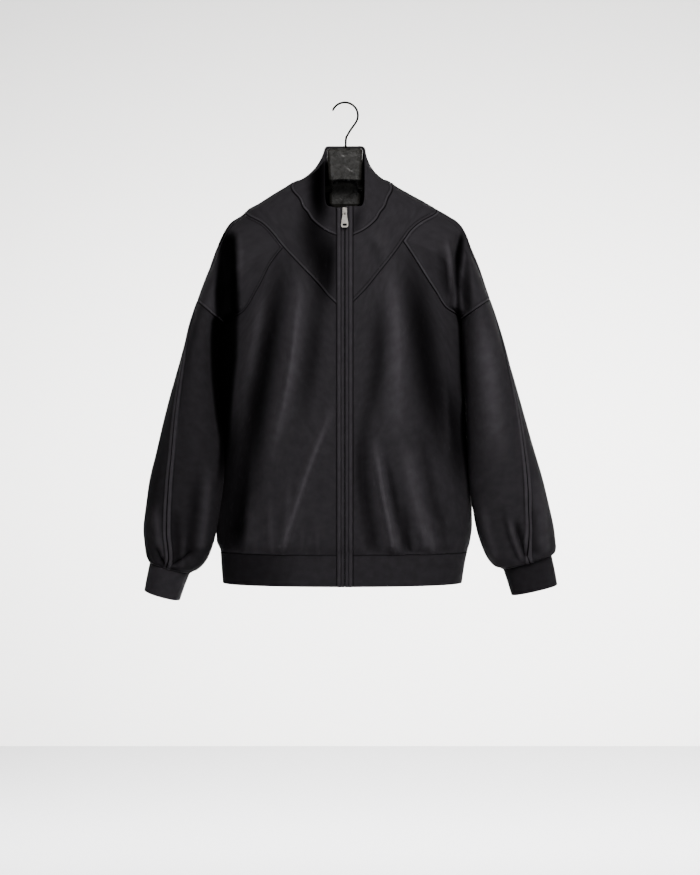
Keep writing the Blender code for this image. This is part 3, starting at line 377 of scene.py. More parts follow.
# Largest folds. The solids carry most of them; those of the front are set closer to the photo here.
FRONT_FOLDS = table(
    Fold,
    (-72, -305, -92, -480, -138, -650, 11, 16),
    (-106, -268, -150, -510, -187, -779, -18, 18),
    (-46, -330, -58, -450, -82, -576, -8, 14),
    (-20, -222, -34, -300, -46, -392, -11, 17),
    (-19, -526, -58, -625, -109, -779, 8, 12),
    (-142, -330, -150, -400, -166, -520, 8, 18),
    (80, -282, 90, -440, 90, -610, 12, 20),
    (63, -330, 54, -455, 28, -600, -6, 13),
    (33, -540, 28, -630, 49, -779, -9, 12),
    (52, -586, 64, -665, 86, -779, 10, 11),
    (62, -595, 83, -690, 108, -779, -7, 8),
    (111, -258, 141, -450, 173, -655, -17, 23),
    (172, -480, 177, -560, 184, -630, 7, 9),
    (100, -590, 117, -672, 146, -779, 7, 12),
    (128, -560, 145, -645, 163, -730, -5, 9),
)
BACK_FOLDS = table(
    Fold,
    (-95, -300, -100, -480, -128, -700, 9, 20),
    (-140, -330, -152, -500, -178, -720, -11, 18),
    (-30, -290, -34, -460, -52, -660, -6, 18),
    (20, -420, 34, -590, 60, -774, 8, 16),
    (88, -290, 96, -450, 112, -640, 9, 19),
    (136, -340, 150, -520, 172, -740, -12, 18),
)

STEEP = 0.72                    # the right side of a ridge falls away this much faster

# The deep valley between body and sleeve, below the hanger's end.
VALLEY = table(Valley, (-218, -206, 205, 0), (-240, -204, 203, 14), (-300, -202, 199, 34),
               (-350, -204, 198, 44), (-384, -206, 199, 46))
VALLEY_SPREAD = 14.0

# Smaller folds that only the looks carry.
FINE_FRONT = table(
    Fold,
    (-77, -320, -91, -450, -126, -620, 4, 6),
    (-19, -526, -58, -625, -109, -779, 4, 6),
    (52, -586, 64, -665, 86, -779, 5, 6),
    (86, -330, 94, -450, 90, -560, 2, 9),
    (-150, -520, -162, -620, -168, -760, 3, 10),
    (-96, -640, -99, -700, -104, -781, 3, 8),
    (-130, -690, -128, -740, -126, -781, 3, 7),
    (100, -689, 105, -735, 111, -781, -4, 6),
    (92, -735, 94, -755, 96, -781, 3, 4),
    (143, -700, 148, -745, 152, -781, 3, 6),
    (168, -700, 170, -740, 176, -781, -3, 7),
    (-48, -735, -47, -755, -46, -781, 2, 4),
    (-74, -730, -74, -755, -75, -781, 2, 4),
    (-165, -690, -170, -740, -172, -781, 3, 8),
    (128, -740, 128, -760, 128, -781, -2, 4),
    (30, -745, 31, -762, 32, -781, 1.5, 5),
)
FINE_BACK = table(
    Fold,
    (-160, -700, -162, -740, -166, -781, 3, 7),
    (-110, -690, -112, -735, -118, -781, 3, 8),
    (-62, -720, -62, -750, -60, -781, 2.5, 5),
    (-14, -700, -12, -745, -8, -781, 3, 7),
    (34, -730, 36, -752, 38, -781, 2, 5),
    (82, -700, 86, -742, 90, -781, 3, 7),
    (128, -715, 130, -748, 136, -781, 2.5, 5),
    (170, -700, 172, -740, 178, -781, 3, 7),
)
# Painted shade and painted highlight alone, where the cloth is painted darker or paler with no fold under
# it. Heights here count as tones only.
PAINTED_SHADING_FRONT = table(
    Fold,
    (60, -330, 60, -455, 30, -600, -4, 14),
    (-42, -130, -52, -225, -36, -345, -17, 23),
    (-190, -520, -198, -620, -206, -781, -12, 20),
    (172, -470, 190, -570, 208, -700, -13, 18),
    (-78, -300, -90, -440, -126, -620, 9, 10),
    (-21, -540, -58, -625, -107, -776, 7, 6),
    (84, -300, 92, -450, 90, -600, 5, 18),
    (57, -590, 66, -665, 86, -776, 12, 12),
    (108, -590, 124, -680, 152, -776, 9, 12),
    (-150, -560, -158, -660, -160, -770, 5, 16),
    (60, -220, 62, -260, 60, -300, 3, 22),
    (40, -235, 54, -262, 62, -300, -5, 9),
    (60, -640, 110, -700, 160, -760, -2, 60),
)
# Painted shade on the collar's front.
PAINTED_SHADING_COLLAR = table(
    Fold,
    (-40, -70, -46, -150, -42, -240, -30, 14),
    (24, -185, 20, -210, 14, -240, -7, 8),
)
# The deep shade between body and sleeve: where it starts and ends on each side.
SHADE = table(
    Shade,
    (-222, -206, -194, 203, 203), (-234, -212, -189, 200, 203),
    (-275, -218, -185, 191, 200), (-310, -220, -185, 193, 196),
    (-331, -221, -185, 195, 196), (-367, -220, -186, 196, 198),
    (-385, -226, -187, 198, 200), (-439, -228, -188, 202, 205),
    (-476, -227, -192, 204, 207), (-513, -224, -196, 206, 208),
    (-550, -220, -200, 202, 209), (-590, -215, -203, 204, 211),
    (-690, -224, -212, 216, 217),
)
# Painted light and shade on the hem band and the cuffs: how pale each is along the width.
BAND_PAINTED_SHADING = table(Tone, (-345, 0.1), (-285, 0.1), (-225, -0.7), (-140, -0.5), (-60, 0.0),
                   (60, 0.0), (200, -0.1), (280, -0.45), (330, -0.35), (370, 0.0))
SLEEVE_FOLDS_L = table(
    Fold,
    (-325, -690, -323, -735, -314, -792, 5, 8),
    (-233, -630, -242, -720, -250, -776, 5, 10),
    (-250, -640, -258, -720, -268, -790, -4, 12),
    (-323, -768, -319, -786, -309, -806, -6, 5),
    (-264, -778, -278, -790, -298, -803, -6, 5),
    (-345, -770, -342, -784, -336, -799, -4, 5),
    (-292, -700, -290, -750, -288, -800, -3, 9),
    (-275, -740, -278, -770, -282, -805, 3, 6),
    (-300, -380, -316, -560, -338, -720, -2, 14),
)
SLEEVE_FOLDS_R = table(
    Fold,
    (234, -380, 248, -510, 262, -640, 8, 22),
    (280, -715, 290, -750, 307, -793, 7, 6),
    (293, -720, 302, -757, 313, -792, -7, 6),
    (270, -700, 282, -750, 300, -795, -3, 7),
    (330, -640, 340, -710, 346, -784, 4, 12),
    (312, -680, 322, -730, 330, -786, -4, 10),
    (236, -690, 246, -745, 262, -796, 4, 9),
)
SHOULDER_FOLDS_L = table(
    Fold,
    (-186, -220, -184, -262, -180, -340, 3, 10),
)
SHOULDER_FOLDS_R = table(
    Fold,
    (174, -236, 180, -290, 192, -362, 7, 5),
    (163, -250, 168, -290, 178, -350, -3, 9),
)


# ---------------------------------------------------------------- curves
def bend(t, start, leave, end, arrive):
    """Cubic curve from start (t 0) to end (t 1), with its directions there."""
    return ((1 + 2 * t) * (1 - t) ** 2 * start + t * (1 - t) ** 2 * leave
            + t * t * (3 - 2 * t) * end + t * t * (t - 1) * arrive)


def smooth(xs, ys, x):
    """A smooth curve through the points (xs, ys) that never overshoots them."""
    xs, ys = np.asarray(xs, float), np.asarray(ys, float)
    if xs[0] > xs[-1]:
        xs, ys = xs[::-1], ys[::-1]
    step = np.diff(xs)
    slope = np.diff(ys) / step
    tangent = np.zeros(len(xs))
    same = slope[1:] * slope[:-1] > 0
    total = np.where(same, slope[1:] + slope[:-1], 1.0)
    tangent[1:-1] = np.where(same, 2 * slope[1:] * slope[:-1] / total, 0.0)
    tangent[0], tangent[-1] = slope[0], slope[-1]
    x = np.clip(np.asarray(x, float), xs[0], xs[-1])
    k = np.clip(np.searchsorted(xs, x, side="right") - 1, 0, len(step) - 1)
    h = step[k]
    t = (x - xs[k]) / h
    return bend(t, ys[k], h * tangent[k], ys[k + 1], h * tangent[k + 1])


def column(rows, key, value, x):
    """One named column of a table, read smoothly at x along another."""
    return smooth([getattr(r, key) for r in rows], [getattr(r, value) for r in rows], x)


def lengths(points):
    """Running length along a line of points."""
    return np.r_[0, np.cumsum(np.linalg.norm(np.diff(points, axis=0), axis=1))]


def places_at(line, run, at):
    """Places on a line of points, at lengths counted from its start."""
    return np.stack([np.interp(at, run, values) for values in line.T], axis=1)


def resample(line, share):
    run = lengths(line)
    return places_at(line, run, share * run[-1])


def unit(vectors):
    """Vectors of length 1 in the same directions."""
    return vectors / np.maximum(np.linalg.norm(vectors, axis=-1, keepdims=True), 1e-9)


def path(points, share):
    """Points at shares of the length of a smooth curve through the given ones."""
    points = np.asarray(points, float)
    run = lengths(points)
    at = share * run[-1]
    return np.stack([smooth(run, points[:, c], at) for c in range(points.shape[1])], axis=1)


def squarer(wave, power):
    """A sine or cosine, bent so that a round section becomes a squarer one."""
    return np.sign(wave) * np.abs(wave) ** (2 / power)


def bell(x):
    return np.exp(-x * x)


def ease(x):
    x = np.clip(x, 0, 1)
    return x * x * (3 - 2 * x)


# ---------------------------------------------------------------- surfaces
def fold_height(folds, x, z):
    """Sum of the folds at (x, z); each fades in and out at its ends."""
    total = np.zeros(np.broadcast(x, z).shape)
    for f in folds:
        run = (f.z0 - z) / (f.z0 - f.z2)
        middle = (f.z0 - f.z1) / (f.z0 - f.z2)
        centre = smooth([0, middle, 1], [f.x0, f.x1, f.x2], run)
        fade = ease((run + 0.08) / 0.45) * ease((1.04 - run) / (0.12 if f.z2 < -700 else 0.5))
        spread = f.spread * np.where((x > centre) & (f.rise > 0), STEEP, 1.0)
        total += f.rise * fade * bell((x - centre) / spread)
    return total


def half_width(x, z):
    """Half the torso's width, on the side on which x lies."""
    return np.where(x < 0, column(TORSO, "z", "left", z), column(TORSO, "z", "right", z))


def torso(angle, z):
    """Point of the body of the garment; angle 0 is the centre front, 90 its right side."""
    angle, z = np.broadcast_arrays(np.asarray(angle, float), np.asarray(z, float))
    turn = np.radians(angle)
    s, c = np.sin(turn), np.cos(turn)
    x = half_width(s, z) * squarer(s, TORSO_SQUARE)
    round_off = np.abs(c) ** (2 / TORSO_SQUARE)
    flat = ease(np.abs(c) / 0.45) * ease((np.abs(x) - PLACKET_HALF) / 18)
    widest = column(TORSO, "z", "side", z)
    front = (column(TORSO, "z", "front", z) + widest) * round_off
    front = front + flat * fold_height(FRONT_FOLDS + FINE_FRONT, x, z)
    back = (column(TORSO, "z", "back", z) - widest) * round_off
    back = back + ease(np.abs(c) / 0.45) * fold_height(BACK_FOLDS + FINE_BACK, x, z)
    return np.stack([x, widest + np.where(c > 0, -front, back), z], axis=-1)


def torso_angle(x, z):
    x = np.asarray(x, float)
    ratio = np.clip(np.abs(x) / half_width(x, z), 0, 1)
    return np.sign(x) * np.degrees(np.arcsin(ratio ** (TORSO_SQUARE / 2)))


def neck_z(angle):
    return column(NECK, "angle", "z", np.abs(angle))


class Side:
    """The tables of one side. sign is -1 on the left and 1 on the right."""

    def __init__(self, sign):
        right = sign > 0
        self.sign, self.letter, self.swing = sign, "LR"[right], ("left", "right")[right]
        for name, pair in (("v_inner", (V_LEFT, V_RIGHT)), ("v_outer", (V_LEFT_OUT, V_RIGHT_OUT)),
                           ("arm", (ARM_LEFT, ARM_RIGHT)), ("edge", (EDGE_LEFT, EDGE_RIGHT)),
                           ("sleeve", (SLEEVE_LEFT, SLEEVE_RIGHT)), ("cuff", (CUFF_LEFT, CUFF_RIGHT)),
                           ("shoulder_z", SHOULDER_Z), ("underarm_z", UNDERARM_Z),
                           ("sleeve_folds", (SLEEVE_FOLDS_L, SLEEVE_FOLDS_R)),
                           ("shoulder_folds", (SHOULDER_FOLDS_L, SHOULDER_FOLDS_R))):
            setattr(self, name, pair[right])


def seam_line(rows, share, last=None):
    """Angle and height at shares along a front seam; last closes it on the torso's side."""
    points = [(float(torso_angle(r.x, r.z)), r.z) for r in rows]
    if last is not None:
        points.append(last)
    spots = np.array(points)
    run = torso(spots[:, 0], spots[:, 1])
    length = lengths(run)
    at = share * length[-1]
    return np.stack([smooth(length, spots[:, 0], at), smooth(length, spots[:, 1], at)], axis=-1)


def two_seams(first, second, share, meet):
    """first up to the share where the seams meet, and second beyond it."""
    share = np.asarray(share, float)
    one = first(np.clip(share / meet, 0, 1))
    two = second(np.clip((share - meet) / (1 - meet), 0, 1))
    return np.where((share <= meet)[..., None], one, two)


def v_inner(side):
    return lambda share: seam_line(side.v_inner, share)


def v_outer(side):
    return lambda share: seam_line(side.v_outer, share, (90 * side.sign, side.shoulder_z))


def arm_seam(side):
    return lambda share: seam_line(side.arm, share, (90 * side.sign, side.underarm_z))


def back_arm_angle(side, z):
    share = np.clip((z - side.underarm_z) / (side.shoulder_z - side.underarm_z), 0, 1)
    return 90 + 36 * 4 * share * (1 - share)


def yoke(side, u, v):
    """From the V seam (v 0) to the neck seam, and from the placket (u 0) to the shoulder."""
    low = two_seams(v_inner(side), v_outer(side), u, V_SHARE_YOKE)
    front = float(torso_angle(side.sign * PLACKET_HALF, PLACKET_NECK))
    high_angle = front + (90 * side.sign - front) * u ** 1.25
    high = np.stack([high_angle, neck_z(high_angle)], axis=1)
    edge_z = low[0, 1] + (high[0, 1] - low[0, 1]) * v
    edge = np.stack([torso_angle(np.full(len(v), side.sign * PLACKET_HALF), edge_z), edge_z], axis=1)
    top_z = low[-1, 1] + (high[-1, 1] - low[-1, 1]) * v
    top = np.stack([np.full(len(v), 90.0 * side.sign), top_z], axis=1)
    u, v = u[:, None, None], v[None, :, None]
    patch = (low[:, None] * (1 - v) + high[:, None] * v + edge[None] * (1 - u) + top[None] * u
             - low[0] * (1 - u) * (1 - v) - low[-1] * u * (1 - v)
             - high[0] * (1 - u) * v - high[-1] * u * v)
    return torso(patch[..., 0], patch[..., 1])


def lower_front(side, u, v):
    """From the hem seam (v 0) up to the V seam and the arm seam."""
    top = two_seams(v_inner(side), arm_seam(side), u, V_SHARE_FRONT)
    start = float(torso_angle(side.sign * PLACKET_HALF, HEM_SEAM))
    low_angle = start + (90 * side.sign - start) * u
    z = HEM_SEAM + (top[:, 1:2] - HEM_SEAM) * v[None]
    angle = low_angle[:, None] + (top[:, 0:1] - low_angle[:, None]) * v[None]
    angle[0] = torso_angle(np.full(len(v), side.sign * PLACKET_HALF), z[0])
    return torso(angle, z)


BACK_ROWS = (16, 10, 5)         # shares of the back below the underarm, beside the armhole, above


def back_panel(left, right, u, v):
    """From the hem (v 0) up to the underarm, the shoulder and the neck seam."""
    total = sum(BACK_ROWS)
    rows = []
    for share in v * total:
        body = min(share / BACK_ROWS[0], 1)
        arm = np.clip((share - BACK_ROWS[0]) / BACK_ROWS[1], 0, 1)
        top = np.clip((share - BACK_ROWS[0] - BACK_ROWS[1]) / BACK_ROWS[2], 0, 1)
        ends = []
        for s in (right, left):
            z = HEM_SEAM + (s.underarm_z - HEM_SEAM) * body + (s.shoulder_z - s.underarm_z) * arm
            ends.append((float(back_arm_angle(s, z)) if arm > 0 else 90.0, z))
        angle = ends[0][0] + (360 - ends[1][0] - ends[0][0]) * u
        z = ends[0][1] + (ends[1][1] - ends[0][1]) * ease(u)
        high = neck_z(np.where(angle > 180, 360 - angle, angle))
        rows.append(torso(angle, z + (high - z) * top))
    return np.stack(rows, axis=1)


def sleeve_ring(rows, down, turn):
    """Point of a tube made from rings; turn 0 is outer, 90 front, 180 inner."""
    ends = [((r.out_x, r.out_z), (r.in_x, r.in_z)) for r in rows]
    middle = np.array([((a[0] + b[0]) / 2, (a[1] + b[1]) / 2) for a, b in ends])
    run = lengths(middle)
    at = np.asarray(down, float) * run[-1]
    half = [[(a[c] - b[c]) / 2 for a, b in ends] for c in (0, 1)]
    cx, cz = smooth(run, middle[:, 0], at), smooth(run, middle[:, 1], at)
    ax, az = smooth(run, half[0], at), smooth(run, half[1], at)
    depth = smooth(run, [r.depth / 2 for r in rows], at)
    cy = smooth(run, [r.lean for r in rows], at)
    a = np.radians(turn)
    across, forth = squarer(np.cos(a), SLEEVE_SQUARE), squarer(np.sin(a), SLEEVE_SQUARE)
    return np.stack([cx + ax * across, cy - depth * forth, cz + az * across], axis=-1)


def sleeve(side, turn, down):
    """turn counts from the overarm seam, which swings to the front on the way down."""
    swing = column(SWING, "down", side.swing, down)
    return sleeve_ring(side.sleeve, down, turn + swing)


def sleeve_panel(side, u, v, first, last):
    down = 1 - (1 - v) ** 1.25
    return sleeve(side, (first + (last - first) * u)[:, None], down[None, :])


def cuff_panel(side, u, v):
    turn = 360 * u + getattr(SWING[-1], side.swing)
    return sleeve_ring(side.cuff, v[None, :], turn[:, None])


def surface_normal(surface, a, b, step=0.05):
    da = surface(a + step, b) - surface(a - step, b)
    db = surface(a, b + step) - surface(a, b - step)
    return unit(np.cross(da, db))


def valley(side, point, share, span):
    """Push the cloth in along the valley, but not at the seams at share 0 and 1."""
    x, y, z = point[..., 0], point[..., 1], point[..., 2]
    centre = column(VALLEY, "z", side.swing, z)
    depth = column(VALLEY, "z", "depth", z) * ease((VALLEY_TOP - z) / 30)
    push = depth * bell(((x - centre) / VALLEY_SPREAD) ** 2) * ease((np.abs(y) - 12) / 30)
    push = push * ease(span / 130) * ease(share / 0.2) * ease((1 - share) / 0.14)
    moved = point.copy()
    moved[..., 1] = y - np.sign(y) * np.minimum(push, np.maximum(np.abs(y) - 14, 0))
    return moved


def shoulder(side, u, v, front):
    """From the torso's armhole seam (v 0) out to the dropped sleeve seam."""
    if front:
        loop = two_seams(lambda s: v_outer(side)(1 - s), arm_seam(side), u, V_SHARE_LOOP)
    else:
        z = side.shoulder_z + (side.underarm_z - side.shoulder_z) * u
        loop = np.stack([back_arm_angle(side, z) * side.sign, z], axis=1)
    start = torso(loop[:, 0], loop[:, 1])
    turn = 180 * u if front else 360 - 180 * u
    end = sleeve(side, turn, np.zeros(len(u)))
    onward = unit(sleeve_ring(side.sleeve, np.full(len(u), 0.02), turn) - end)
    distance = np.linalg.norm(end - start, axis=1, keepdims=True)
    tilt = np.radians(column(LEAVE, "along", "tilt", u))
    leave = np.stack([side.sign * np.cos(tilt), 0 * tilt, np.sin(tilt)], axis=1)
    normal = surface_normal(torso, loop[:, 0], loop[:, 1])
    leave -= normal * np.sum(leave * normal, axis=1, keepdims=True)
    leave[0] = (side.sign * math.cos(math.radians(30)), 0, -math.sin(math.radians(30)))
    leave[-1] = (0, 0, 1)
    leave = unit(leave)
    reach = column(LEAVE, "along", "reach", u)[:, None] * distance
    w = v[None, :, None]
    loft = bend(w, start[:, None], (leave * reach)[:, None], end[:, None],
                (onward * 0.8 * distance)[:, None])
    edge_xz = [(start[0, 0], start[0, 2])] + [tuple(e) for e in side.edge] + [(end[0, 0], end[0, 2])]
    edge = path(edge_xz, v)
    edge = np.stack([edge[:, 0], end[0, 1] * ease(v), edge[:, 1]], axis=1)
    near = (1 - ease(u / 0.62))[:, None, None]
    loft = loft + near * (edge - loft[0])[None]
    return valley(side, loft, v[None, :], distance)


RIM_Y = -17.0                   # middle of the collar's top edge, and its half depth and width
RIM_DEEP = 59.0
RIM_WIDE = 34.4
RIM_SPLAY = 1.1                 # wider at the back by this, and narrower at the front
RIM_LOW = -186.0                # height at the front, and how much higher it is at the back
RIM_RISE = 117.0


def rim(share):
    """The collar's top edge: share 0 is the centre front and 1 the centre front again."""
    angle = np.radians(360 * share)
    y = RIM_Y - RIM_DEEP * squarer(np.cos(angle), COLLAR_SQUARE)
    x = (RIM_WIDE + RIM_SPLAY * (y - RIM_Y) / RIM_DEEP) * squarer(np.sin(angle), COLLAR_SQUARE)
    z = RIM_LOW + RIM_RISE * ease((y - RIM_Y + RIM_DEEP) / (2 * RIM_DEEP)) ** 0.9
    z = z - 3 * ease((x + 30) / 20) * ease((2 - x) / 2) * ease((-60 - y) / 10)
    return np.stack([x, y, z], axis=-1)


def even_rim(share):
    fine = np.linspace(0, 1, 721)
    points = rim(fine)
    run = lengths(points)
    first = np.interp(PLACKET_HALF, points[:180, 0], run[:180])
    at = first + (run[-1] - 2 * first) * share
    return rim(np.interp(at, run, fine))


def neck_line(left, right, count):
    """The neck seam from the right placket edge round the back to the left one."""
    top = np.array([1.0])
    ends = [yoke(s, np.linspace(0, 1, count), top)[:, 0] for s in (right, left)]
    angle = np.linspace(90, 270, 2 * count)
    middle = torso(angle, neck_z(np.where(angle > 180, 360 - angle, angle)))
    return np.vstack([ends[0], middle[1:-1], ends[1][::-1]])


def collar_panel(left, right, u, v):
    neck = resample(neck_line(left, right, 60), u)
    top = even_rim(u)
    w = v[None, :, None]
    grid = neck[:, None] * (1 - w) + top[:, None] * w
    along = np.gradient(top + neck, u, axis=0)
    out = unit(np.cross(along, top - neck))
    dip = -6.0 * bell((np.minimum(u, 1 - u) - 0.29) / 0.13)
    return grid + out[:, None] * dip[:, None, None] * 4 * w * (1 - w)


def hem_panel(u, v):
    """All round from the right placket edge to the left one; v 0 is the folded edge."""
    starts = [float(torso_angle(s * PLACKET_HALF, HEM_SEAM)) for s in (1, -1)]
    corners = np.array([0, 13, 35, 48]) / 48
    angle = np.interp(u, corners, [starts[0], 90, 270, 360 + starts[1]])
    levels = HEM_EDGE + (HEM_SEAM - HEM_EDGE) * v
    band = torso(angle[:, None], levels[None])
    band[0, :, 0], band[-1, :, 0] = PLACKET_HALF, -PLACKET_HALF
    return band


# ---------------------------------------------------------------- cloth shells
EDGE_STEPS = (0, 0.25, 0.6, 1.1, 1.7, 2.5, 3.4, 4.2, 5.0, 6.2, 8.0, 10.6)


def stations(length, pitch, through=()):
    """Shares from 0 to 1, close together near both ends, where the seams are."""
    near = np.array([s / length for s in EDGE_STEPS if s < length * 0.4])
    count = max(2, round((1 - 2 * near[-1]) * length / pitch))
    middle = np.linspace(near[-1], 1 - near[-1], count + 1)
    for share in through:
        middle = middle[np.abs(middle - share) * length > 0.4 * pitch]
    every = np.r_[near, middle, 1 - near, through]
    return np.unique(np.round(every, 7))


def distance_to(line, points):
    """Least distance from each point to a line of straight parts."""
    best = np.full(points.shape[:-1], 1e9)
    for start, end in zip(line[:-1], line[1:]):
        way = end - start
        size = max(way @ way, 1e-12)
        t = np.clip((points - start) @ way / size, 0, 1)
        gap = points - start - t[..., None] * way
        best = np.minimum(best, np.sqrt(np.einsum("...i,...i", gap, gap)))
    return best


# How a panel's edge is made up: height and width of the turned allowance under it,
# and how far in its row of stitches lies (0 for none).
Edge = namedtuple("Edge", "ridge width stitch")
PLAIN = Edge(0.25, 3.0, 0.0)
TURNED = Edge(1.3, 4.4, 4.6)
FLAT = Edge(0.35, 4.4, 4.6)
BOLD = Edge(1.7, 4.4, 4.6)
PAIRED = Edge(2.0, 6.0, 6.6)
FAINT = Edge(0.4, 3.4, 3.5)
FOLDED = Edge(0.0, 1.0, 0.0)
EDGE_KEYS = ("v0", "v1", "u0", "u1")


def facing(grid, heart, closed):
    if closed:
        da = np.roll(grid, -1, axis=0) - np.roll(grid, 1, axis=0)
    else:
        da = np.gradient(grid, axis=0)
    normal = unit(np.cross(da, np.gradient(grid, axis=1)))
    return -normal if np.sum(normal * (grid - np.asarray(heart, float))) < 0 else normal


class Shell:
    """One cut piece of cloth as a thin closed shell with made-up edges."""

    def __init__(self, name, grid, thick, finish, slot, edges, heart, closed=False, lift=None,
                 drape=None):
        self.name, self.thick, self.closed = name, thick, closed
        self.drape = np.zeros(grid.shape[:2]) if drape is None else drape(grid)
        normal = facing(grid, heart, closed)
        if lift is not None:
            grid = grid + normal * lift(grid, normal)[..., None]
            normal = facing(grid, heart, closed)
        lines = {"v0": grid[:, 0], "v1": grid[:, -1]}
        if closed:
            lines = {k: np.vstack([line, line[:1]]) for k, line in lines.items()}
        else:
            lines.update(u0=grid[0], u1=grid[-1])
        self.distance = {k: distance_to(line, grid) for k, line in lines.items()}
        ridge = np.zeros(grid.shape[:2])
        for key, distance in self.distance.items():
            e = edges[key]
            profile = e.ridge * ease(distance / 1.3) * ease((e.width + 1.4 - distance) / 1.6)
            # painted light on the allowance's ridge, painted shade along the row of stitches and at the seam
            # itself
            if e.stitch:
                row = bell((distance - e.stitch) / 0.55)
                profile = profile - 0.45 * row
                self.drape = self.drape + 0.5 * profile - 0.6 * bell((distance - e.stitch) / 0.9)
            if e.ridge:
                self.drape = self.drape - (0.6 + 0.5 * e.ridge) * bell(distance / 1.0)
            ridge = np.where(np.abs(profile) > np.abs(ridge), profile, ridge)
        self.drape = np.tanh(self.drape)
        nearest = np.minimum.reduce(list(self.distance.values()))
        fullness = np.sqrt(1 - (1 - np.clip(nearest / (thick / 2), 0.02, 1)) ** 2)
        self.edges, self.normal = edges, normal
        self.outer = grid + normal * (thick / 2 * fullness + ridge)[..., None]
        self.inner = grid - normal * (thick / 2 * fullness)[..., None]
        self.thing = self.mesh(finish)
        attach(self.thing, "jacket")
        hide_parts(name)

    def mesh(self, finish):
        n, m = self.outer.shape[:2]
        index = np.arange(n * m).reshape(n, m)
        if self.closed:
            index = np.vstack([index, index[:1]])
        a, b, c, d = index[:-1, :-1], index[1:, :-1], index[1:, 1:], index[:-1, 1:]
        skin = np.stack([a, b, c, d], axis=-1).reshape(-1, 4)
        total = n * m

        def edge_faces(line):
            return np.stack([line[:-1], line[1:], line[1:] + total, line[:-1] + total], -1)
        rims = [edge_faces(index[:, 0])[:, ::-1], edge_faces(index[:, -1])]
        if not self.closed:
            rims += [edge_faces(index[0]), edge_faces(index[-1])[:, ::-1]]
        faces = np.vstack([skin, skin[:, ::-1] + total] + rims)
        first = self.normal[n // 2, m // 2]
        quad = self.outer.reshape(-1, 3)[skin[(n // 2) * (m - 1) + m // 2]]
        if np.cross(quad[1] - quad[0], quad[3] - quad[0]) @ first < 0:
            faces = faces[:, ::-1]
        points = np.concatenate([self.outer.reshape(-1, 3), self.inner.reshape(-1, 3)])
        thing = new_thing(self.name + "_cloth", points, faces.tolist(), finish)
        mesh = thing.data
        step_u = np.linalg.norm(np.diff(self.outer, axis=0), axis=-1).mean(axis=1)
        step_v = np.linalg.norm(np.diff(self.outer, axis=1), axis=-1).mean(axis=0)
        run_u, run_v = np.r_[0, np.cumsum(step_u)] * MM, np.r_[0, np.cumsum(step_v)] * MM
        place = np.stack(np.meshgrid(run_u, run_v, indexing="ij"), axis=-1).reshape(-1, 2)
        corner = np.zeros(len(mesh.loops), int)
        mesh.loops.foreach_get("vertex_index", corner)
        drape = mesh.attributes.new("drape", "FLOAT", "POINT")
        drape.data.foreach_set("value", np.tile(self.drape.ravel(), 2).astype(np.float32))
        layer = mesh.uv_layers.new(name="cloth_place")
        layer.data.foreach_set("uv", place[corner % total].astype(np.float32).ravel())
        return thing

    def stitch_row(self, key):
        """Points and normals along the row of stitches that runs beside an edge."""
        distance = self.edges[key].stitch
        field = self.distance[key]
        outer, normal = self.outer, self.normal
        if key[0] == "u":
            field, outer, normal = (np.swapaxes(a, 0, 1) for a in (field, outer, normal))
        if key[1] == "1":
            field, outer, normal = field[:, ::-1], outer[:, ::-1], normal[:, ::-1]
        row = []
        for f, o, w in zip(field, outer, normal):
            k = int(np.argmax(f >= distance))
            if k == 0:
                continue
            t = (distance - f[k - 1]) / max(f[k] - f[k - 1], 1e-9)
            row.append(np.r_[o[k - 1] + t * (o[k] - o[k - 1]), w[k]])
        if self.closed:
            row.append(row[0])
        return np.array(row)


FOLD_TONE = 15.0                # mm of fold that paint one step of highlight or shade
SHOULDER_FOLD_TONE = 7.0
SLEEVE_FOLD_TONE = 8.0
SLEEVE_PAINTED_SHADE = (-0.3, 0.0)      # left and right; painted shade on the left one
DEEP = 1.75                     # steps of tone that the deep shade takes away
SHADE_FOOT = -690.0
SHADE_IN = 26.0                 # length over which it sets in, and over which it fades
SHADE_OUT = 120.0


def shade(x, z):
    """1 in the deep shade between body and sleeve, 0 away from it."""
    ends = [column(SHADE, "z", key, z) for key in ("left_out", "left_in", "right_in", "right_out")]
    dark = 0
    for low, high in (ends[:2], ends[2:]):
        dark = dark + ease((x - low + 5) / 8) * ease((high + 8 - x) / 13)
    return np.clip(dark, 0, 1) * ease((VALLEY_TOP - z) / SHADE_IN) * ease((z - SHADE_FOOT) / SHADE_OUT)


def torso_drape(grid):
    """Painted light and shade: 1 is a painted highlight on the top of a fold, -1 painted shade in a hollow
    or deep beside the sleeve.
    """
    x, z = grid[..., 0], grid[..., 2]
    folds = FRONT_FOLDS + FINE_FRONT + PAINTED_SHADING_FRONT if grid[..., 1].mean() < 0 else BACK_FOLDS + FINE_BACK
    beside = shade(x, z)
    return fold_height(folds, x, z) / FOLD_TONE * (1 - beside) - DEEP * beside


def collar_drape(grid):
    x, z = grid[..., 0], grid[..., 2]
    # painted shade on the front of the collar only
    return np.where(grid[..., 1] < 0, fold_height(PAINTED_SHADING_COLLAR, x, z) / FOLD_TONE, 0)


def band_drape(grid):
    """The bands lie flat; painted light and shade make each a little paler or darker along its length."""
    return column(BAND_PAINTED_SHADING, "x", "tone", grid[..., 0])


def limb_drape(folds, fold_tone, base=0.0):
    """Painted light and shade of a shoulder panel or a sleeve: painted highlight and shade on its own folds,
    a painted tone, and the painted deep shade beside the body.
    """
    def drape(grid):
        x, z = grid[..., 0], grid[..., 2]
        return base + fold_height(folds, x, z) / fold_tone - DEEP * shade(x, z)
    return drape


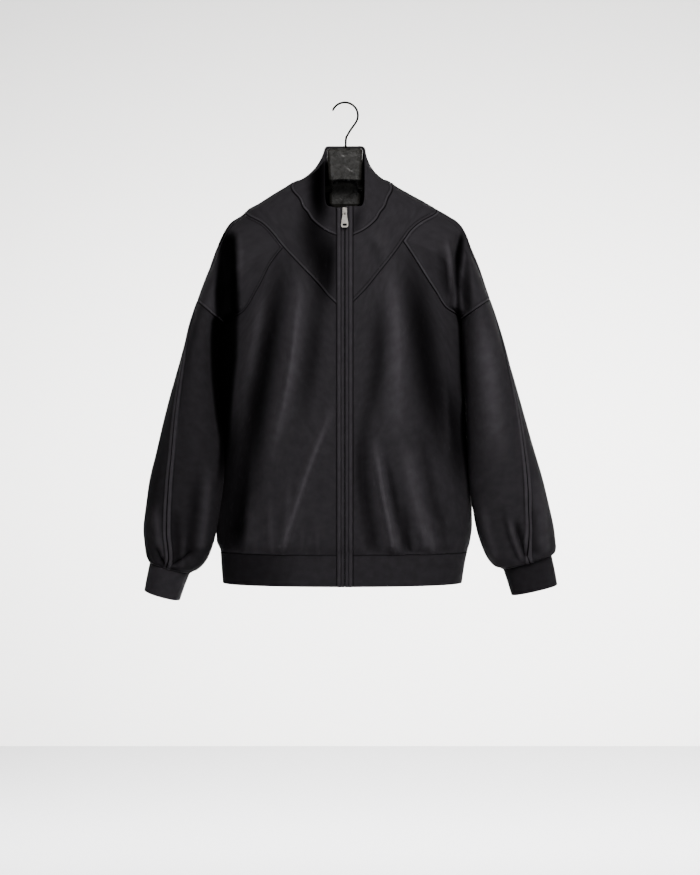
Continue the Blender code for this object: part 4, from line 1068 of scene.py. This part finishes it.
# ---------------------------------------------------------------- stitches and teeth
def copies(name, form_points, form_faces, places, along, outward, finish, slot):
    """One mesh holding a copy of a small form at each place, its x along and its z outward."""
    along = unit(along)
    across = unit(np.cross(outward, along))
    outward = np.cross(along, across)
    axes = np.stack([along, across, outward], axis=1)
    points = places[:, None] + np.einsum("pk,nkj->npj", form_points, axes)
    count = len(form_points)
    faces = [[i + k * count for i in face] for k in range(len(places)) for face in form_faces]
    thing = new_thing(name, points, faces, finish)
    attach(thing, "jacket")


def bar(length, width, high):
    """A small rounded bar: rings of four at three places, with pointed ends."""
    points = [(-length / 2, 0, 0)]
    for x in (-length * 0.34, length * 0.34):
        points += [(x, width / 2, 0), (x, 0, high / 2), (x, -width / 2, 0), (x, 0, -high / 2)]
    points.append((length / 2, 0, 0))
    faces = [(0, 1 + (k + 1) % 4, 1 + k) for k in range(4)]
    faces += [(1 + k, 1 + (k + 1) % 4, 5 + (k + 1) % 4, 5 + k) for k in range(4)]
    faces += [(9, 5 + k, 5 + (k + 1) % 4) for k in range(4)]
    return np.array(points), faces


STITCH_PITCH = 3.2
STITCH = (2.7, 0.62, 0.5)       # length, width and height
TOOTH_PITCH = 1.4
TOOTH = (2.6, 0.9, 1.0)
TOOTH_SHIFT = 0.55              # to the left and to the right in turn


def stitch_places(rows):
    """Even places along rows of (point, normal), with the direction of each row."""
    spots, ways, outs = [], [], []
    for row in rows:
        if len(row) < 3:
            continue
        run = lengths(row[:, :3])
        at = np.arange(STITCH_PITCH, run[-1] - STITCH_PITCH, STITCH_PITCH)
        place = places_at(row, run, at)
        ahead = places_at(row[:, :3], run, at + 0.8)
        spots.append(place[:, :3])
        ways.append(ahead - place[:, :3])
        outs.append(place[:, 3:])
    return np.vstack(spots), np.vstack(ways), np.vstack(outs)


def sew(name, rows, finish, slot):
    places, along, outward = stitch_places(rows)
    outward = unit(outward)
    copies(name, *bar(*STITCH), places - outward * 0.02, along, outward, finish, slot)


# ---------------------------------------------------------------- hard pieces
def tube_mesh(name, line, radii, sides, finish):
    line = np.asarray(line, float)
    across = np.cross(unit(np.gradient(line, axis=0)), (0, 1, 0))
    turn = np.linspace(0, 2 * math.pi, sides, endpoint=False)
    cosine, sine = np.cos(turn)[None, :, None], np.sin(turn)[None, :, None]
    ring = cosine * across[:, None] + sine * np.array((0, 1, 0))
    points = line[:, None] + np.asarray(radii)[:, None, None] * ring
    faces = []
    for i in range(len(line) - 1):
        for k in range(sides):
            a, b = i * sides + k, i * sides + (k + 1) % sides
            faces.append((a, b, b + sides, a + sides))
    faces.append(tuple(range(sides))[::-1])
    faces.append(tuple(range((len(line) - 1) * sides, len(line) * sides)))
    thing = new_thing(name, points, faces, finish)
    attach(thing, "jacket")
    return thing


WIRE = 3.8
HOOK_RADIUS = 22.75
HOOK_TURNS = (160, -37)         # from the tip over the top to the neck
HOOK_NECK = 16.0                # straight stretch below the bend
HOOK_FOOT = -87.0


def hook_piece(finish):
    """The wire hook with a rounded tip."""
    centre_z = WIRE / 2 - HOOK_RADIUS
    turns = np.radians(np.linspace(*HOOK_TURNS, 60))
    arc = np.stack([HOOK_RADIUS * np.cos(turns), 0 * turns, centre_z + HOOK_RADIUS * np.sin(turns)], 1)
    way = arc[-1] - arc[-2]
    neck = arc[-1] + way / np.linalg.norm(way) * HOOK_NECK
    tail = np.array([neck, (2.6, 0, neck[2] - 11), (1.6, 0, neck[2] - 17), (1.6, 0, HOOK_FOOT)])
    line = np.vstack([arc, tail])
    radii = np.full(len(line), WIRE / 2)
    radii[:5] = WIRE / 2 * np.array([0.45, 0.85, 1.0, 1.0, 1.0])
    thing = tube_mesh("hook_wire_piece", line, radii, 20, finish)
    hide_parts("hanger_hook")


def dress_hard_pieces(plastic, metal):
    """The carried-over hard pieces take their finish and softened edges."""
    for name, finish, width in (("hanger_body", plastic, 1.2), ("zip_slider", metal, 0.3),
                                ("pull_tab", metal, 0.35)):
        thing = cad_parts[name]
        thing.data.materials.clear()
        thing.data.materials.append(finish)
        bevel = thing.modifiers.new("soft_edges", "BEVEL")
        bevel.width, bevel.segments = width * MM, 3
        bevel.limit_method, bevel.angle_limit = "ANGLE", math.radians(40)


# ---------------------------------------------------------------- the whole jacket
def build():
    knit = knit_group()
    jersey, band, tape, thread = (cloth_finish(name, knit, *values) for name, *values in (
        ("jersey_cloth", (0.031, 0.028, 0.033), (0.040, 0.037, 0.043), 1000, 0.9, 0.02),
        ("band_cloth", (0.028, 0.025, 0.030), (0.036, 0.033, 0.039), 1150, 0.8, 0.02),
        ("tape_cloth", (0.008, 0.008, 0.009), (0.011, 0.011, 0.012), 2200, 0.3, 0.05),
        ("sewing_thread", (0.016, 0.015, 0.018), (0.022, 0.021, 0.024), 3000, 0.2, 0.2)))
    plastic = hard_finish("glossy_plastic", (0.02, 0.019, 0.017), 0.28, 0.0, 90, 0.0022, 0.14, True)
    wire = hard_finish("dark_wire", (0.007, 0.007, 0.006), 0.6, 0.0, 300, 0.0001, 0.08, shine=0.05)
    metal = hard_finish("pale_metal", (0.72, 0.68, 0.62), 0.3, 1.0, 400, 0.00002, 0.06)
    coil = hard_finish("zip_teeth_finish", (0.02, 0.02, 0.022), 0.35, 0.2, 500, 0.0001, 0.06)
    left, right = Side(-1), Side(1)
    shells = {}

    def cloth(name, grid, edges, heart, finish=jersey, slot="black_jersey", thick=CLOTH, **more):
        shells[name] = Shell(name, grid, thick, finish, slot, dict(zip(EDGE_KEYS, edges)), heart, **more)

    for side in (left, right):
        key = side.letter
        u = stations(250, 2.6, (V_SHARE_YOKE,))
        v_edge, arm_edge = (TURNED, FAINT) if side.sign < 0 else (FLAT, BOLD)
        cloth("front_yoke_" + key, yoke(side, u, stations(110, 2.6)), (v_edge, PLAIN, PLAIN, PAIRED),
              (0, 20, -300), drape=torso_drape)
        u = stations(300, 2.6, (V_SHARE_FRONT,))
        cloth("front_lower_" + key, lower_front(side, u, stations(460, 3.0)), (PLAIN,) * 4,
              (0, 20, -500), drape=torso_drape)
        heart = (side.sign * 150, 0, -290)
        u = stations(300, 2.8, (V_SHARE_LOOP,))
        for name, front in (("shoulder_front_", True), ("shoulder_back_", False)):
            def lift(grid, normal, side=side):
                toward = np.clip(-normal[..., 1], 0, 1)
                return fold_height(side.shoulder_folds, grid[..., 0], grid[..., 2]) * toward
            cloth(name + key, shoulder(side, u, stations(150, 2.6), front),
                  (arm_edge if front else PLAIN, TURNED, PAIRED, PLAIN), heart, lift=lift if front else None,
                  drape=limb_drape(side.shoulder_folds, SHOULDER_FOLD_TONE))
        for name, first, last in (("sleeve_front_", 0, 180), ("sleeve_back_", 180, 360)):
            u, v = stations(220, 3.0), stations(470, 3.2)
            axis = (sleeve_panel(side, u, v, 0, 180) + sleeve_panel(side, u, v, 180, 360)) / 2

            def lift(grid, normal, side=side):
                return fold_height(side.sleeve_folds, grid[..., 0], grid[..., 2]) * np.abs(normal[..., 1])
            edges = (PLAIN, TURNED, PAIRED, PLAIN) if first == 0 else (PLAIN, TURNED, PLAIN, PAIRED)
            cloth(name + key, sleeve_panel(side, u, v, first, last), edges, axis, lift=lift,
                  drape=limb_drape(side.sleeve_folds, SLEEVE_FOLD_TONE, SLEEVE_PAINTED_SHADE[side.sign > 0]))
        u = np.linspace(0, 1, 141)[:-1]
        cuff = cuff_panel(side, u, stations(52, 3.0))
        cloth("cuff_" + key, cuff, (PLAIN, FOLDED), cuff.mean(axis=0, keepdims=True), band, "black_band",
              BAND_CLOTH, closed=True, drape=band_drape)

    cloth("back", back_panel(left, right, stations(430, 3.6), stations(640, 3.6)),
          (PLAIN,) * 4, (0, -20, -450), drape=torso_drape)
    u = stations(1260, 3.4, (13 / 48, 35 / 48))
    cloth("hem_band", hem_panel(u, stations(55, 3.0)), (FOLDED, PLAIN, PLAIN, PLAIN), (0, 0, -810),
          band, "black_band", BAND_CLOTH, drape=band_drape)
    cloth("collar", collar_panel(left, right, stations(440, 2.6), stations(80, 2.2)),
          (TURNED, FOLDED, PLAIN, PLAIN), (0, -15, -150), thick=COLLAR_CLOTH, drape=collar_drape)
    placket_and_zip(shells, left, right, jersey, tape, coil)

    rows = [s.stitch_row(key) for s in shells.values() for key in s.distance if s.edges[key].stitch]
    sew("topstitching", rows, thread, "black_jersey")
    hook_piece(wire)
    dress_hard_pieces(plastic, metal)
    declare(shells)


PLACKET_RIDGES = ((0.9, 0.7), (2.4, 2.0), (4.2, 2.2), (6.0, 0.5), (6.6, 0.2), (8.2, 2.2), (9.9, 2.6),
                  (11.6, 2.2), (13.0, 0.5), (14.0, 0.1))


def placket_and_zip(shells, left, right, jersey, tape, coil):
    """The two plackets with their stitched ridges, the tape behind them and the coil."""
    for side, end in ((right, 0), (left, -1)):
        hem, front, top = (shells[n] for n in ("hem_band", "front_lower_" + side.letter,
                                               "front_yoke_" + side.letter))
        collar = shells["collar"]
        edges = ((hem, end), (front, 0), (top, 0), (collar, end))
        middle = [(s.outer[e] + s.inner[e]) / 2 for s, e in edges]
        line = np.vstack([middle[0][:-2], middle[1][2:-2], middle[2][2:-2], middle[3][2:]])
        length = np.linalg.norm(np.diff(line, axis=0), axis=1).sum()
        v = stations(length, 2.2)
        line = resample(line, v)
        if end == 0:
            zip_line = line
        across = np.array([PLACKET_SPLIT, 1.1, 1.5, 2.0, 2.6, 3.3, 4.1, 4.9, 5.5, 5.9, 6.2, 6.5, 6.9, 7.4,
                           8.1, 8.9, 9.8, 10.7, 11.5, 12.2, 12.7, 13.1, 13.5, 13.9])
        grid = np.repeat(line[None], len(across), axis=0)
        grid[..., 0] = side.sign * across[:, None]
        rise = smooth([r[0] for r in PLACKET_RIDGES], [r[1] for r in PLACKET_RIDGES], across)
        grid[..., 1] -= 0.5 * (1 - across[:, None] / PLACKET_HALF)
        fade = 1 - 0.5 * ease((v - 0.985) / 0.015)

        def lift(g, normal, rise=rise, fade=fade):
            return rise[:, None] * fade[None, :]
        # painted light on the placket's stitched ridges and painted shade in its grooves
        shell = Shell("placket_" + side.letter, grid, CLOTH, jersey, "black_jersey",
                      dict.fromkeys(EDGE_KEYS, FOLDED), (0, 60, -500), lift=lift,
                      drape=lambda g, rise=rise: np.repeat((0.45 * rise - 0.7)[:, None], g.shape[1], 1))
        shells["placket_" + side.letter] = shell
    v = stations(np.linalg.norm(np.diff(zip_line, axis=0), axis=1).sum(), 5.0)
    middle = resample(zip_line, v)
    grid = np.repeat(middle[None], 7, axis=0)
    grid[..., 0] = np.linspace(-6, 6, 7)[:, None]
    grid[..., 1] += CLOTH / 2 + 1.25
    shells["zip_chain"] = Shell("zip_chain", grid, 1.2, tape, "zip_tape",
                                dict.fromkeys(EDGE_KEYS, FOLDED), (0, 60, -500))
    run = lengths(middle)
    at = np.arange(2, run[-1] - 12, TOOTH_PITCH)
    spot = places_at(middle, run, at)
    spot[:, 1] += CLOTH / 2 + 0.35
    spot[:, 0] = np.where(np.arange(len(at)) % 2 == 0, -TOOTH_SHIFT, TOOTH_SHIFT)
    way = np.tile((1.0, 0, 0), (len(at), 1))
    out = np.tile((0, -1.0, 0), (len(at), 1))
    copies("zip_teeth", *bar(*TOOTH), spot, way, out, coil, None)


LEAST_AREA = 0.31               # of its width x length, for any sheet


def declare(shells):
    """Works out each cloth piece's flat width, length and area from the shell's own lengths; nothing is done
    with them.
    """
    for s in shells.values():
        wide = np.linalg.norm(np.diff(s.outer, axis=0), axis=-1).sum(axis=0).max() * MM
        if s.closed:
            wide += np.linalg.norm(s.outer[0] - s.outer[-1], axis=-1).max() * MM
        long = np.linalg.norm(np.diff(s.outer, axis=1), axis=-1).sum(axis=1).max() * MM
        area = sum(p.area for p in s.thing.data.polygons) / 2
        area = min(max(area, LEAST_AREA * wide * long), wide * long)


studio()
build()
